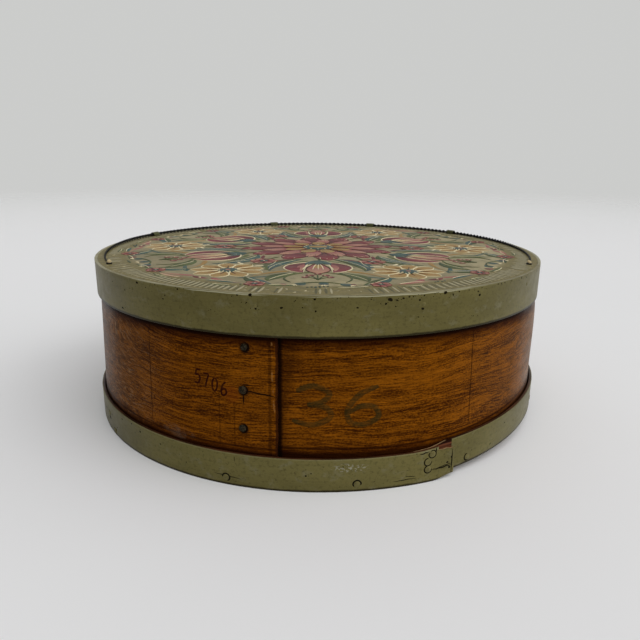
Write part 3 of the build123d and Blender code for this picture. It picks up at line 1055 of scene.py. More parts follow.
def clinched_nail(radius, height, uneven, facets, through):
    """A nail whose shank goes through the sheets along -Z and is bent over behind them."""
    head = beaten_head("side_nail", radius, height, uneven, facets)
    shank = added("shank", bpy.ops.mesh.primitive_cylinder_add, vertices=10, radius=0.9 * mm,
                  depth=through + 0.6 * mm, location=(0, 0, -through / 2 - 0.1 * mm))
    point = added("bent_point", bpy.ops.mesh.primitive_cone_add, vertices=10, radius1=0.95 * mm,
                  radius2=0.3 * mm, depth=6 * mm, location=(0, -2.2 * mm, -through - 0.15 * mm),
                  rotation=(math.pi / 2, 0, 0))
    return join("side_nail", [head, shank, point])


def drive(nail, radius, angle, height, lean, turn):
    """A copy of a nail in an upright round surface."""
    facing = Vector((*polar(1, angle).xy, lean)).normalized()
    spin = facing.to_track_quat("Z", "Y").to_matrix().to_4x4() @ Matrix.Rotation(turn, 4, "Z")
    return copy_of(nail, Matrix.Translation(polar(radius, angle, height)) @ spin)


class CHEESEBOX_OT_nails(bpy.types.Operator):
    """Drives the three iron nails of the side's lap, and finishes all tacks"""

    bl_idname = "cheese_box.nails"
    bl_label = "Nails and tacks"

    def execute(self, context):
        given = sizes()
        iron = dark_iron("iron", colours().iron, (0.060, 0.030, 0.016))
        green = painted_over("painted_nail", times(colours().band, 1.04), (0.05, 0.035, 0.02))
        shapes = ((2.5, 1.5, 1.1, 6, 0.5), (2.75, 1.4, 0.9, 20, 0.0), (2.5, 1.2, 0.8, 16, 1.1))
        driven = []
        for (angle, height), (radius, dome, uneven, facets, turn) in zip(side_nail_places, shapes):
            nail = clinched_nail(radius * mm, dome * mm, uneven * mm, facets, 8.4 * mm)
            face = given.side_foot_radius - given.side_lean * height - 0.1 * mm
            driven.append(drive(nail, face, angle, height, given.side_lean, turn))
            discard(nail)
        on_body(join("side_lap_nails_beaten", driven), "box", iron, ["side_lap_nails"], 28)
        for name, node, body, path, places, radius, proud in (
            ("hoop_tack_heads", "hoop_tacks", "box", "hoop", hoop_tack_places, 2.15, 0.35),
            ("hoop_lap_heads", "hoop_lap_nails", "box", "hoop", hoop_lap_nail_places, 2.35, 0.35),
            ("lid_tack_heads", "lid_tacks", "lid", "lid", lid_tack_places, 1.3, 0.12),
        ):
            head = flat_head(radius * mm, proud * mm)
            placed = [drive(head, outer_face(paths[path], angle), angle, height, 0, number)
                      for number, (angle, height) in enumerate(places)]
            discard(head)
            on_body(join(name, placed), body, green, [node])
        dress("lid_lap_nails", green)
        return {"FINISHED"}


class CHEESEBOX_OT_trim_wire(bpy.types.Operator):
    """Twists two strands and bends them round the back of the lid"""

    bl_idname = "cheese_box.trim_wire"
    bl_label = "Trim wire"

    def execute(self, context):
        given = sizes()
        inset = 2.6 * mm
        length = paths["wire"].runs[-1] - 2 * inset
        turns = round(length / given.wire_lay)
        strand = given.wire_thickness / 4 - 0.08 * mm
        first = added("wire_strand", bpy.ops.mesh.primitive_grid_add, x_subdivisions=turns * 12,
                      y_subdivisions=8, size=1)

        def rolled(x, y, z):
            around = (y + 0.5) * math.tau
            return (x + 0.5) * length, strand * (1 + math.cos(around)), strand * math.sin(around)

        reshape(first, rolled)
        tidy(first)
        in_edit(first, bpy.ops.mesh.fill_holes, sides=0)
        tidy(first)
        wire = join("twisted_wire", [first, copy_of(first, Matrix.Rotation(math.pi, 4, "X"))])

        def laid(x, y, z):
            around = math.tau * turns * x / length
            thin = 0.46 + 0.54 * ease((min(x, length - x) - 12 * mm) / (120 * mm))
            y, z, c, s = y * thin, z * thin, math.cos(around), math.sin(around)
            return x + inset, y * c - z * s, y * s + z * c + given.lid_top + 2 * strand * thin + 0.05 * mm

        reshape(wire, laid)
        bend(wire, paths["wire"])
        eyes = [added("eye", bpy.ops.mesh.primitive_torus_add, major_radius=1.7 * mm, minor_radius=0.5 * mm,
                      major_segments=24, minor_segments=10,
                      location=polar(given.wire_radius, angle, given.lid_top + 0.55 * mm))
                for angle in (wire_right_end, wire_left_end)]
        wire = join("trim_wire_twist", [*eyes, wire])
        on_body(wire, "lid", wire_black(), ["trim_wire"], 60)
        return {"FINISHED"}


class CHEESEBOX_OT_wire_fixings(bpy.types.Operator):
    """Finishes the tin clips over the wire and the nails at its ends"""

    bl_idname = "cheese_box.wire_fixings"
    bl_label = "Wire clips and end nails"

    def execute(self, context):
        given = sizes()
        arch, leg = given.wire_thickness / 2 + 0.25 * mm, 1.35 * mm
        clip = added("clip", bpy.ops.mesh.primitive_grid_add, x_subdivisions=36, y_subdivisions=6, size=1)

        def bowed(x, y, z):
            run, along = x * 14 * mm, y * (8.6 - 2.5 * abs(x)) * mm
            beyond = abs(run) - arch * math.pi / 2
            if beyond <= 0:
                return arch * math.sin(run / arch), along, arch * math.cos(run / arch) + leg
            return math.copysign(arch + max(beyond - leg, 0), run), along, max(leg - beyond, 0)

        reshape(clip, bowed)
        apply_modifier(clip, "SOLIDIFY", thickness=0.45 * mm, offset=1)
        soften(clip, 0.12 * mm)
        waver(clip, 0.3 * mm, 0.004, "NORMAL")
        tidy(clip)
        bent = [copy_of(clip, Matrix.Translation(polar(given.wire_radius, angle, given.lid_top + 0.05 * mm))
                        @ Matrix.Rotation(math.radians(angle), 4, "Z")) for angle in clip_angles]
        discard(clip)
        tin = painted_over("painted_tin", (0.082, 0.084, 0.036), (0.018, 0.016, 0.010))
        nodes = [f"wire_clip_{number}" for number in (1, 2, 3, 4)]
        on_body(join("wire_clips_bent", bent), "lid", tin, nodes)
        # The end nails' heads are coloured cream: a painted highlight on their domes
        ends = painted_over("end_nail_paint", (0.50, 0.40, 0.22), (0.03, 0.018, 0.009))
        for name, angle in (("right", wire_right_end), ("left", wire_left_end)):
            nail = beaten_head("end_nail_" + name, 1.75 * mm, 1.0 * mm, 0.4 * mm, 14)
            nail.rotation_euler = (0.5, 0.25, 0)
            nail.location = polar(given.wire_radius, angle, given.lid_top + 2.0 * mm)
            settle(nail)
            on_body(nail, "lid", ends, ["wire_end_nail_" + name])
        return {"FINISHED"}


# The lid's painting: folk flowers, leaves and a border of short strokes

# How wide a stroke is along its length, as a share of its widest
swells = {
    "petal": lambda share: max(0.02, math.sin(math.pi * share ** 1.35)) ** 0.75,
    "leaf": lambda share: max(0.02, math.sin(math.pi * share)) ** 0.9,
    "comma": lambda share: (1 - share) ** 0.8 * min(1.0, (share / 0.10 + 0.02) ** 0.5),
    "dot": lambda share: max(0.0, 1 - (2 * share - 1) ** 2) ** 0.5,
    "line": lambda share: min(1.0, share / 0.12 + 0.15, (1 - share) / 0.18 + 0.1) ** 0.6,
}


def swell(kind, width, count):
    """Half widths along a stroke."""
    return [width * swells[kind](number / count) for number in range(count + 1)]


def curve_points(corners, count):
    """Points on the smooth curve that a few corners pull."""
    made = []
    for number in range(count + 1):
        row, share = [Vector(corner) for corner in corners], number / count
        while len(row) > 1:
            row = [a.lerp(b, share) for a, b in zip(row, row[1:])]
        made.append(row[0])
    return made


def edges_of(points, widths, share):
    """The two edges of a stroke."""
    sides = ([], [])
    for before, point, after, width in zip([points[0], *points], points, [*points[1:], points[-1]], widths):
        along = (after - before).normalized()
        out = Vector((-along.y, along.x)) * width * share
        sides[0].append(point + out)
        sides[1].append(point - out)
    return sides


def turned(turn, *places, at=(0, 0)):
    """Places along and beside a direction from a point."""
    c, s = math.cos(turn), math.sin(turn)
    return [(at[0] + c * x - s * y, at[1] + s * x + c * y) for x, y in places]


class Painting:
    """Collects the strokes of each colour, in the place, turn and size that is set."""

    def __init__(self, seed):
        self.strokes = {}
        self.chance = random.Random(seed)
        self.set()

    def set(self, radius=0.0, angle=0.0, turn=0.0, scale=1.0):
        self.middle = polar(radius * mm, angle)
        self.turn = math.radians(angle + turn)
        self.scale = scale

    def lay(self, tone, brush, points, widths, level):
        shake = self.chance.uniform(0.92, 1.08)
        placed = turned(self.turn, *[(x * self.scale * mm, y * self.scale * mm) for x, y in points],
                        at=self.middle)
        halves = [width * self.scale * shake * mm for width in widths]
        height = (level + self.chance.uniform(0, 0.012)) * mm
        self.strokes.setdefault((tone, brush), []).append(Stroke(placed, halves, height))

    def stroke(self, tone, kind, corners, width, level=0.02, brush="broad", count=10):
        jitter = self.chance.uniform
        corners = [(x + jitter(-0.35, 0.35), y + jitter(-0.35, 0.35)) for x, y in corners]
        form = curve_points(corners, count), swell(kind, width, count)
        self.lay(tone, brush, *form, level)
        return form

    def line(self, tone, corners, width=0.42, level=0.22, count=10):
        self.stroke(tone, "line", corners, width, level, "fine", count)

    def outline(self, tone, form, width=0.36, level=0.22):
        for edge in edges_of(*form, 0.97):
            self.lay(tone, "fine", edge, swell("line", width, len(edge) - 1), level)

    def dot(self, tone, x, y, radius, level=0.06):
        points = [Vector((x - radius + 2 * radius * number / 8, y)) for number in range(9)]
        self.lay(tone, "broad" if radius > 0.9 else "fine", points, swell("dot", radius, 8), level)

    def dots(self, count, reach, radius, level):
        """A ring of cream dots."""
        for number in range(count):
            self.dot("cream", *turned(math.tau * number / count, (reach, 0))[0], radius, level)

    def leaf(self, corners, width, light, dark="moss"):
        form = points, widths = self.stroke(light, "leaf", corners, width)
        self.lay(dark, "broad", edges_of(*form, 0.5)[1], [half * 0.48 for half in widths], 0.12)
        self.line("cream", [*points[1:-1:3], points[-2]], 0.30, 0.24)


def tulip(p):
    """A flower of three petals in a cup of leaves, which opens along +X."""
    for side in (-1, 1):
        corners = [(0, 0), (6, side * 15), (22, side * 19), (35, side * 9)]
        form = p.stroke("maroon", "petal", corners, 6.8, count=14)
        p.outline("cream", form, 0.48)
        p.stroke("rose", "leaf", [(8, side * 8), (18, side * 14), (30, side * 10)], 2.9, 0.14)
        p.line("cream", [(9, side * 4.5), (17, side * 9), (27, side * 9)], 0.42, 0.26)
    form = p.stroke("rose", "petal", [(2, 0), (16, -1), (28, 1), (38, 0)], 7.6, 0.10, count=14)
    p.outline("umber", form, 0.34, 0.30)
    p.stroke("ochre", "petal", [(5, 0), (15, 0), (29, 0)], 3.6, 0.24)
    for shift in (-3.2, 0, 3.2):
        p.line("cream", [(9, shift * 0.4), (17, shift), (27, shift * 0.9)], 0.36, 0.36, 6)
    for side in (-1, 0, 1):
        p.stroke("teal", "leaf", [(-5, side * 1.5), (2, side * 5), (12, side * 7.5)], 2.9, 0.30)
    p.dot("slate", -2, 0, 3.6, 0.36)


def daisy(p):
    """A round flower of ochre petals round a slate middle."""
    for number in range(9):
        turn = math.tau * (number + 0.25) / 9
        corners = turned(turn, (5, 0), (15, 1.5), (25, 0))
        p.outline("cream", p.stroke("ochre", "petal", corners, 6.2, 0.04 + 0.004 * (number % 2)), 0.46)
        p.line("umber", turned(turn, (7, 0), (15, 0)), 0.42, 0.24, 5)
    for tone, x, y, radius, level in (("slate", 0, 0, 7.4, 0.24), ("teal", 0.8, 0.6, 5.0, 0.40),
                                      ("rose", 0.4, 0.2, 2.2, 0.52)):
        p.dot(tone, x, y, radius, level)
    p.dots(9, 6.2, 0.7, 0.52)


def bellflower(p):
    """Three small blue bells that hang from one curved stem."""
    p.line("moss", [(-15, -4), (-4, 5), (8, 4), (16, -3)], 0.8, 0.16, 12)
    for *root, turn in ((-8, 2.2, -2.2), (3, 4.2, -1.5), (14, 0, -0.8)):
        p.stroke("teal", "petal", turned(turn, (0, 0), (5, 0), (10, 0), at=root), 3.7, 0.10)
        p.stroke("slate", "leaf", turned(turn, (3, 0), (8.5, 0), at=root), 1.3, 0.24, count=6)
        tip = turned(turn, (10.2, 0), at=root)[0]
        for swing in (-0.9, 0, 0.9):
            p.line("cream", turned(turn + swing, (0, 0), (2.8, 0), at=tip), 0.5, 0.30, 4)


def posy(p):
    """A small round red flower of six petals."""
    for number in range(6):
        corners = turned(math.tau * number / 6, (2, 0), (6.6, 0), (11, 0))
        p.outline("maroon", p.stroke("rose", "petal", corners, 4.0, 0.16, count=8), 0.45, 0.30)
    p.dot("teal", 0, 0, 3.2, 0.40)
    p.dot("cream", 0, 0, 1.0, 0.52)


def berries(p):
    """A sprig of red berries."""
    for x, y in ((9, 5.5), (14, 0), (9, -5.5), (3, 8.5), (3, -8.5)):
        p.line("moss", [(-6, 0), (x * 0.4, y * 0.3), (x, y)], 0.55, 0.14, 7)
        p.dot("maroon", x, y, 2.9, 0.16)
        p.dot("rose", x - 0.5, y + 0.5, 1.5, 0.30)
        p.dot("cream", x - 0.8, y + 0.8, 0.5, 0.40)


def rosette(p):
    """The round flower in the middle of the lid."""
    for ring, (count, start, end, width, tone, inner, edge) in enumerate((
        (12, 22, 68, 10.5, "maroon", "rose", "umber"), (12, 16, 52, 8.6, "rose", "maroon", "umber"),
        (9, 10, 34, 7.6, "ochre", "rose", "maroon"),
    )):
        for number in range(count):
            turn = math.tau * (number + 0.5 * ring) / count + 0.12
            middle = (start + end) / 2
            level = 0.03 + 0.10 * ring + 0.01 * (number % 2)
            corners = turned(turn, (start, 0), (middle, 2), (end, 0))
            p.outline(edge, p.stroke(tone, "petal", corners, width, level, count=14), 0.62, level + 0.10)
            far = turned(turn, (middle - 3, 0), (end - 5, 0))
            p.stroke(inner, "leaf", far, width * 0.42, level + 0.05, count=8)
            for lean in (-0.09, 0, 0.09):
                vein = turned(turn + lean, (end - 16, 0), (end - 5, 0))
                p.line("umber" if ring else "cream", vein, 0.40, level + 0.12, 5)
    for tone, radius, level in (("teal", 14.5, 0.44), ("ochre", 10.0, 0.62), ("maroon", 4.6, 0.74)):
        p.dot(tone, 0, 0, radius, level)
    p.dots(12, 12.2, 0.95, 0.76)


def wreath(p):
    """All flowers, stems and leaves of the lid."""
    p.set()
    rosette(p)
    for angle in range(30, 390, 60):
        p.set(0, angle)
        p.line("moss", [(62, 0), (68, 2), (76, 0)], 1.2, 0.10)
        for side in (-1, 1):
            p.leaf([(64, side * 12), (74, side * 30), (94, side * 41), (112, side * 34)], 7.6, "teal")
            p.stroke("maroon", "comma", [(62, side * 18), (72, side * 38), (90, side * 50)], 1.9, 0.04)
            p.stroke("leaf", "comma", [(72, side * 8), (80, side * 22), (98, side * 27)], 2.6, 0.05)
        p.set(76, angle, scale=1.2)
        tulip(p)
        p.set(0, angle)
        for side in (-1, 1):
            p.line("leaf", [(116, side * 3), (124, side * 22), (138, side * 28), (150, side * 18)], 0.9, 0.12, 12)
            p.leaf([(118, side * 14), (130, side * 31), (147, side * 33)], 6.4, "leaf")
            p.stroke("ochre", "comma", [(112, side * 20), (120, side * 40), (136, side * 46)], 2.3, 0.16)
        p.set(137, angle, 180)
        berries(p)
        p.set(153, angle, 90)
        bellflower(p)
    for angle in range(0, 360, 60):
        p.set(0, angle)
        p.line("moss", [(62, 0), (74, -5), (90, 5), (106, 0)], 1.1, 0.10, 14)
        p.set(84, angle)
        posy(p)
        p.set(0, angle)
        for side in (-1, 1):
            p.leaf([(74, side * 4), (88, side * 17), (104, side * 15)], 5.2, "leaf")
            p.stroke("cream", "comma", [(104, side * 5), (100, side * 16), (90, side * 21)], 1.4, 0.16)
        p.set(128, angle, 8, 1.08)
        daisy(p)
        p.set(0, angle)
        for side in (-1, 1):
            p.leaf([(140, side * 24), (150, side * 38), (151, side * 54)], 5.8, "teal")
            p.stroke("teal", "comma", [(146, side * 22), (134, side * 38), (118, side * 45)], 2.2, 0.04)
            p.stroke("rose", "comma", [(155, side * 8), (160, side * 19), (158, side * 34)], 2.4, 0.06)
            p.stroke("maroon", "dot", [(146, side * 57), (149, side * 63)], 2.6, 0.06)
            p.dot("cream", 112, side * 18, 0.9, 0.2)
        p.stroke("maroon", "leaf", [(157, -7), (160, 0), (157, 7)], 2.6, 0.05)
        for side in (-1, 1):
            p.set(161, angle + 15.5 * side, scale=0.66)
            posy(p)
            p.set(170, angle + 9 * side, 90 * side, 0.8)
            p.stroke("leaf", "leaf", [(-11, -2), (0, 1.5), (11, -2)], 2.6, 0.04)
            p.line("cream", [(-8, -1), (0, 1), (8, -1)], 0.4, 0.2)
        p.set(0, angle)
        p.dot("cream", 158.6, 0.6, 0.9, 0.24)
    for number in range(24):
        p.set(163, 15 * number + 7.5, 90 if number % 3 else -90)
        p.stroke(("teal", "leaf", "moss", "rose")[number % 4], "leaf", [(-12, 0), (0, 3.5), (12, 1)], 2.1, 0.05)
        p.line("cream", [(-10, 1.5), (0, 4.5), (9, 2.5)], 0.34, 0.2)
        for share in range(4):
            p.dot("slate", 15 + 2.6 * share, -1.5 + share % 2, 0.85, 0.1)


def border(p):
    """Slanting strokes round the rim, dark and light by turns and worn thin in places."""
    chance = p.chance
    angle = 0.0
    while angle < 358.5:
        around = (angle + 180) % 360 - 180
        wide = ease((30 - abs(around + 82)) / 22)
        angle += 1.36 + 0.78 * wide + chance.uniform(-0.12, 0.12)
        worn = 0.5 * (math.sin(math.radians(angle * 3 + 40)) + math.sin(math.radians(angle * 7)))
        front = max(0.0, 1 - abs(around + 88) / 14)
        if chance.random() < 0.05 + 0.07 * worn + 0.75 * front + 0.45 * (-168 < around < -140):
            p.set(chance.uniform(171, 181), angle, chance.uniform(-60, 60))
            tone = chance.choice(("straw", "olive", "straw", "cream"))
            p.lay(tone, "fine", [(-1.2, 0), (0, 0.4), (1.2, 0)], [0.2, 0.5, 0.2], 0.02)
            continue
        under_wire = -28 < around < 180 or around < -148
        end = 178 if under_wire else 183 + chance.uniform(-1, 0.8)
        slant = (1.9 if around > -90 else -1.2) * ease(abs(around + 90) / 40)
        for tone, shift, half, level in (("olive", 0.0, 0.66 + 0.2 * wide, 0.01),
                                         ("straw", 1.9 + 0.8 * wide, 0.80 - 0.15 * wide, 0.02)):
            p.set(0, angle + chance.uniform(-0.12, 0.12))
            points = [(169.0 + chance.uniform(-1.4, 1.6), shift + slant), (172.5, shift + 0.4 * slant),
                      (176, shift - 0.3 * slant), (end, shift - slant)]
            p.lay(tone, "broad", points, [half * 0.5, half, half * 1.1, half * 0.6], level)


class CHEESEBOX_OT_lid_painting(bpy.types.Operator):
    """Paints the wreath and the border of strokes on the lid"""

    bl_idname = "cheese_box.lid_painting"
    bl_label = "Lid painting"

    def execute(self, context):
        tones = colours()
        p = Painting(11)
        border(p)
        wreath(p)
        tips = {"maroon": times(tones.maroon, 1.9), "rose": (0.42, 0.235, 0.155), "teal": tones.slate,
                "leaf": tones.moss, "ochre": (0.35, 0.235, 0.095), "moss": tones.leaf, "slate": tones.teal,
                "cream": times(tones.cream, 0.8), "umber": tones.maroon, "straw": tones.straw, "olive": tones.olive}
        finishes = {tone: stroke_paint("lid_" + tone, getattr(tones, tone), tip) for tone, tip in tips.items()}
        for (tone, brush), strokes in p.strokes.items():
            piece = drawn(f"lid_{tone}_{brush}_strokes", strokes, brush)
            raise_by(piece, sizes().lid_top)
            on_body(piece, "lid", finishes[tone], smooth=50)
        return {"FINISHED"}


# Cracks, chips and figures


def marks_on(name, strokes, path, body, material, lift=0.0, after=None):
    """Strokes drawn on a strip's outer face and bent with it."""
    piece = drawn(name, strokes, "mark")
    piece.rotation_euler = (math.pi / 2, 0, 0)
    settle(piece)
    keep_flat(piece)
    if after:
        after(piece)
    bend(piece, path)
    raise_by(piece, lift)
    on_body(piece, body, material, smooth=50)


def through(corners, count):
    """Points on a smooth curve through the given corners."""
    row = [Vector(corners[0]), *map(Vector, corners), Vector(corners[-1])]
    made = []
    for a, b, c, d in zip(row, row[1:], row[2:], row[3:]):
        for number in range(count):
            t = number / count
            made.append(0.5 * (2 * b + (c - a) * t + (2 * a - 5 * b + 4 * c - d) * t * t
                               + (3 * b - a - 3 * c + d) * t * t * t))
    return made + [row[-1]]


# Corners of the pen strokes of plain figures, 1 high and about 0.6 wide
figures = {
    3: [[(0.02, 0.86), (0.28, 1.0), (0.56, 0.82), (0.44, 0.58), (0.22, 0.53)],
        [(0.22, 0.53), (0.52, 0.46), (0.62, 0.22), (0.36, 0.0), (0.0, 0.10)]],
    5: [[(0.58, 1.0), (0.15, 0.98)], [(0.15, 0.98), (0.10, 0.58)],
        [(0.10, 0.58), (0.36, 0.64), (0.60, 0.40), (0.46, 0.06), (0.20, 0.0), (0.0, 0.10)]],
    6: [[(0.52, 0.98), (0.24, 0.80), (0.06, 0.42), (0.12, 0.08), (0.34, 0.0), (0.58, 0.18), (0.50, 0.44),
         (0.26, 0.48), (0.08, 0.30)]],
    7: [[(0.0, 0.96), (0.32, 1.0), (0.60, 0.96)], [(0.60, 0.96), (0.40, 0.5), (0.26, 0.0)]],
    0: [[(0.30, 1.0), (0.07, 0.74), (0.06, 0.28), (0.30, 0.0), (0.54, 0.28), (0.54, 0.74), (0.30, 1.0)]],
}


def written(digits, left, foot, height, width, spread, slant, wide=1.0, fall=0.0):
    """Strokes of plain figures on a strip."""
    strokes = []
    for place, digit in enumerate(digits):
        for corners in figures[digit]:
            placed = [(left + height * (place * spread + wide * x + slant * y), foot + height * (y + fall * place))
                      for x, y in corners]
            points = through(placed, 5)
            halves = [0.35 * width + 0.65 * half for half in swell("line", width, len(points) - 1)]
            strokes.append(Stroke(points, halves, 0.03 * mm))
    return strokes


def scratch(points, width):
    """A crack through given points, thin at both ends."""
    halves = [0.25 * width + 0.75 * half for half in swell("leaf", width, len(points) - 1)]
    return Stroke(points, halves, 0.06 * mm)


def ring(centre, radius, start, reach, width, kind, lowest=0.0):
    """An open dark ring round a nail's head: dirt and broken paint round the hoop's tacks, painted shadow round the
    side's nails.
    """
    turns = [start + reach * number / 16 for number in range(17)]
    points = [centre + radius * Vector((math.cos(turn), math.sin(turn))) for turn in turns]
    return Stroke([(x, max(z, lowest)) for x, z in points], swell(kind, width, 16), 0.06 * mm)


def chip(chance, x, z, reach):
    """Strokes of one small irregular chip."""
    strokes = []
    for number in range(3):
        turn = chance.uniform(0, math.tau)
        middle = Vector((x, z)) + Vector((chance.uniform(-0.4, 0.4), chance.uniform(-0.3, 0.3))) * reach
        out = Vector((math.cos(turn), 0.7 * math.sin(turn))) * reach
        points = [middle + out * share for share in (-1, -0.4, 0.3, 0.9)]
        strokes.append(Stroke(points, [reach * part for part in (0.25, 0.8, 0.7, 0.2)], 0.02 * mm))
    return strokes


class CHEESEBOX_OT_side_marks(bpy.types.Operator):
    """Adds the side's cracks, the painted shadow round its nails and its plain written figures"""

    bl_idname = "cheese_box.side_marks"
    bl_label = "Cracks and figures on the side"

    def execute(self, context):
        path = paths["side"]
        shake = random.Random(4).uniform
        nail_x, nail_z, end_x = run_to(path, 255.6), 0.0657, run_to(path, 360 + side_outer_end)
        cracks = [
            scratch([(nail_x + (end_x - nail_x) * n / 9, nail_z + (0.4 - 0.4 * n + shake(-0.25, 0.25)) * mm)
                     for n in range(10)], 0.55 * mm),
            scratch([(nail_x + (0.6 + shake(-0.2, 0.2)) * mm, nail_z - (2 + 1.5 * n) * mm) for n in range(6)],
                    0.52 * mm),
        ]
        for angle, low, width in ((232.8, 26, 0.22), (-56.7, 30, 0.14)):
            points = [(run_to(path, angle) + shake(-0.2, 0.2) * mm, (low + (99 - low) * n / 10) * mm)
                      for n in range(11)]
            cracks.append(scratch(points, width * mm))
        # A ring of painted shadow round each of the side's nails
        for angle, height in side_nail_places:
            centre = Vector((run_to(path, 360 + angle), height))
            cracks.append(ring(centre, 2.9 * mm, 4.0, 4.0, 0.95 * mm, "leaf"))
        cracks.append(scratch([(nail_x + 1.1 * n * mm, 69.2 * mm) for n in range(6)], 0.5 * mm))

        large = written((3, 6), run_to(path, -95.0), 43.5 * mm, 26 * mm, 2.3 * mm, 1.24, 0.10, 1.5)
        small = written((5, 7, 0, 6), run_to(path, 245.7) - 2.1 * mm, 66 * mm, 9.2 * mm, 0.72 * mm, 0.70, 0.05,
                        0.75, -0.20)
        for name, strokes, material in (
            ("crayon_figures", large, crayon("crayon", (0.024, 0.022, 0.006), 0.76)),
            ("stamped_figures", small, crayon("stamp_ink", (0.026, 0.005, 0.002), 1.3)),
            ("side_cracks", cracks, dark_line("side_crack", (0.008, 0.003, 0.001))),
        ):
            marks_on(name, strokes, path, "box", material)
            lean_in(bpy.data.objects[name])
        return {"FINISHED"}


# Where the ring of broken paint round each tack and nail of the bottom hoop starts, and how far it goes, in radians
hoop_ring_turns = (
    (2.0, 3.0), (1.6, 3.6), *[(2.0, 3.6)] * 8, (-1.2, 4.4), (-0.3, 4.2), (2.6, 5.9), (1.5, 4.8), (1.5, 4.8),
)


class CHEESEBOX_OT_hoop_marks(bpy.types.Operator):
    """Adds chips and cracks in the paint of both hoops"""

    bl_idname = "cheese_box.hoop_marks"
    bl_label = "Chips and cracks in the hoops' paint"

    def execute(self, context):
        path, width = paths["hoop"], sizes().hoop_width
        chance = random.Random(8)

        def at(angle, height):
            """A place on the strip that comes to lie at this angle and height once it has climbed."""
            angle = angle if angle > hoop_tip_angle else angle + 360
            foot, top = hoop_rise(angle)
            return Vector((run_to(path, angle), (height * mm - foot) / (1 + (top - foot) / width)))

        places = (*hoop_tack_places, *hoop_lap_nail_places)
        strokes = [ring(at(angle, height / mm), 2.55 * mm, *turns, 0.70 * mm, "line", 0.9 * mm)
                   for (angle, height), turns in zip(places, hoop_ring_turns)]
        for first, low, last, high, half, shake in hoop_cracks:
            a, b = at(first, low), at(last, high)
            points = [a.lerp(b, n / 8) + Vector((0, chance.uniform(-shake, shake) * mm)) for n in range(9)]
            strokes.append(scratch(points, half * mm))
        for angle, height, reach in hoop_chip_places:
            strokes += chip(chance, *at(angle, height), reach * mm)
        marks_on("hoop_paint_cracks", strokes, path, "box",
                 dark_line("hoop_crack", (0.012, 0.010, 0.005), width), after=climb)

        path, width = paths["lid"], sizes().lid_hoop_width
        foot = sizes().lid_top - width
        chips = []
        for angle, height, reach in lid_chip_places:
            along = run_to(path, angle + 360)
            chips += chip(chance, along, min(height * mm - foot, width - 0.9 * mm), 0.92 * reach * mm)
            for number in range(2):
                beside = along + chance.uniform(-5, 5) * mm
                up = (height + chance.uniform(-1.6, 1.4)) * mm - foot
                chips += chip(chance, beside, min(up, width - 0.7 * mm), 0.30 * mm)
        for number in range(26):
            along = run_to(path, chance.uniform(118, 400))
            chips += chip(chance, along, chance.uniform(0.55, 0.95) * width, chance.uniform(0.4, 1.0) * mm)
        marks_on("lid_hoop_chips", chips, path, "lid",
                 dark_line("lid_hoop_chip", (0.012, 0.009, 0.004), width), foot)
        return {"FINISHED"}


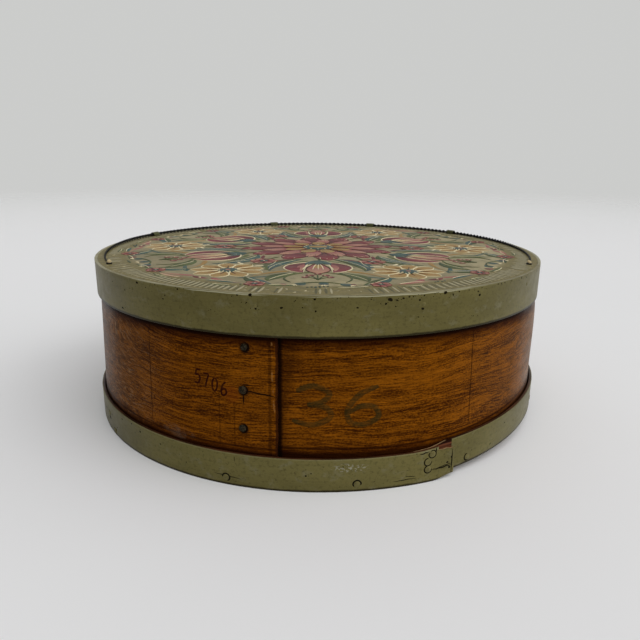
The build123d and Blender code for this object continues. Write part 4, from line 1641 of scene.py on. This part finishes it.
class CHEESEBOX_OT_stage(bpy.types.Operator):
    """Sets up the pale floor, the soft studio light and the camera"""

    bl_idname = "cheese_box.stage"
    bl_label = "Stage"

    def execute(self, context):
        floor = added("floor", bpy.ops.mesh.primitive_circle_add, vertices=96, radius=40, fill_type="NGON")
        f = Finish("floor_paint")
        x, y, z = f.place().split()
        tone = f.mix(f.place().noise((3, 3, 1)), (0.835, 0.835, 0.842), (0.850, 0.850, 0.857))
        for key, value in (("Base Color", tone), ("Roughness", 0.6), ("Specular IOR Level", 0.2)):
            f.feed(value, f.shader.inputs[key])
        reach = f.math("SQRT", x * x + y * y)
        shaders = {0: reach.up(0.7, 4.0), 1: Value(f, f.shader.outputs[0]), 2: f.give("BsdfTransparent", {})}
        f.feed(f.give("MixShader", shaders), f.tree.nodes["Material Output"].inputs["Surface"])
        floor.data.materials.append(f.material)

        world = bpy.data.worlds.new("studio")
        context.scene.world = world
        world.use_nodes = True
        sky = Nodes(world.node_tree)
        x, y, z = sky.give("TexCoord", {}, "Generated").split()
        across = sky.give("MapRange", {0: x, 1: -0.8, 2: 0.8, 3: 0.120, 4: 0.318})
        above = sky.give("MapRange", {0: z, 3: 0.0, 4: 0.275})
        seen = sky.math("MAXIMUM", sky.give("LightPath", {}, "Is Camera Ray"), y.up(0.45, 0.80))
        sky.feed(sky.mix(seen, across + above, (0.60, 0.605, 0.595)), sky.tree.nodes["Background"].inputs["Color"])

        for name, place, strength in (
            ("overhead", (0.50, -0.85, 1.7), 1.13), ("right_window", (1.55, -0.30, 0.6), 1.02),
        ):
            bpy.ops.object.light_add(type="SUN", location=place)
            lamp = named(name)
            lamp.data.energy = strength
            lamp.data.angle = math.radians(70)
            lamp.rotation_euler = (-Vector(place)).to_track_quat("-Z", "Y").to_euler()

        bpy.ops.object.camera_add(location=(-0.00041, -0.50986, 0.20469))
        camera = named("photo_camera")
        camera.data.sensor_width = 36
        camera.data.lens = 31.965
        pitch, yaw, roll = math.radians(15.82289), math.radians(0.31025), math.radians(0.55276)
        forward = Vector((math.sin(yaw) * math.cos(pitch), math.cos(yaw) * math.cos(pitch), -math.sin(pitch)))
        right = Vector((math.cos(yaw), -math.sin(yaw), 0))
        up = right.cross(forward)
        across = math.cos(roll) * right + math.sin(roll) * up
        upright = -math.sin(roll) * right + math.cos(roll) * up
        camera.rotation_euler = Matrix((across, upright, -forward)).transposed().to_euler()
        context.scene.camera = camera
        context.scene.view_settings.view_transform = "Standard"
        return {"FINISHED"}


class CHEESEBOX_PT_panel(bpy.types.Panel):
    """Lists the steps that make the cheese box"""

    bl_label = "Cheese box"
    bl_idname = "CHEESEBOX_PT_panel"
    bl_space_type = "VIEW_3D"
    bl_region_type = "UI"
    bl_category = "Cheese box"

    def draw(self, context):
        layout = self.layout
        for step in steps:
            layout.operator(step.bl_idname)
        for group in (context.scene.cheese_box_sizes, context.scene.cheese_box_colours):
            box = layout.box()
            for key in group.__annotations__:
                box.prop(group, key)


steps = (
    CHEESEBOX_OT_side, CHEESEBOX_OT_planks, CHEESEBOX_OT_bottom_hoop, CHEESEBOX_OT_lid_board,
    CHEESEBOX_OT_lid_hoop, CHEESEBOX_OT_nails, CHEESEBOX_OT_trim_wire, CHEESEBOX_OT_wire_fixings,
    CHEESEBOX_OT_lid_painting, CHEESEBOX_OT_side_marks, CHEESEBOX_OT_hoop_marks, CHEESEBOX_OT_stage,
)
classes = (CheeseBoxSizes, CheeseBoxColours, *steps, CHEESEBOX_PT_panel)


def register():
    for item in classes:
        bpy.utils.register_class(item)
    bpy.types.Scene.cheese_box_sizes = PointerProperty(type=CheeseBoxSizes)
    bpy.types.Scene.cheese_box_colours = PointerProperty(type=CheeseBoxColours)


def unregister():
    del bpy.types.Scene.cheese_box_colours
    del bpy.types.Scene.cheese_box_sizes
    for item in reversed(classes):
        bpy.utils.unregister_class(item)


def main():
    register()
    make_paths()
    for step in steps:
        group, name = step.bl_idname.split(".")
        getattr(getattr(bpy.ops, group), name)()
    discard(*[path.guide for path in paths.values()])
    bpy.context.view_layer.update()


if __name__ == "__main__":
    main()
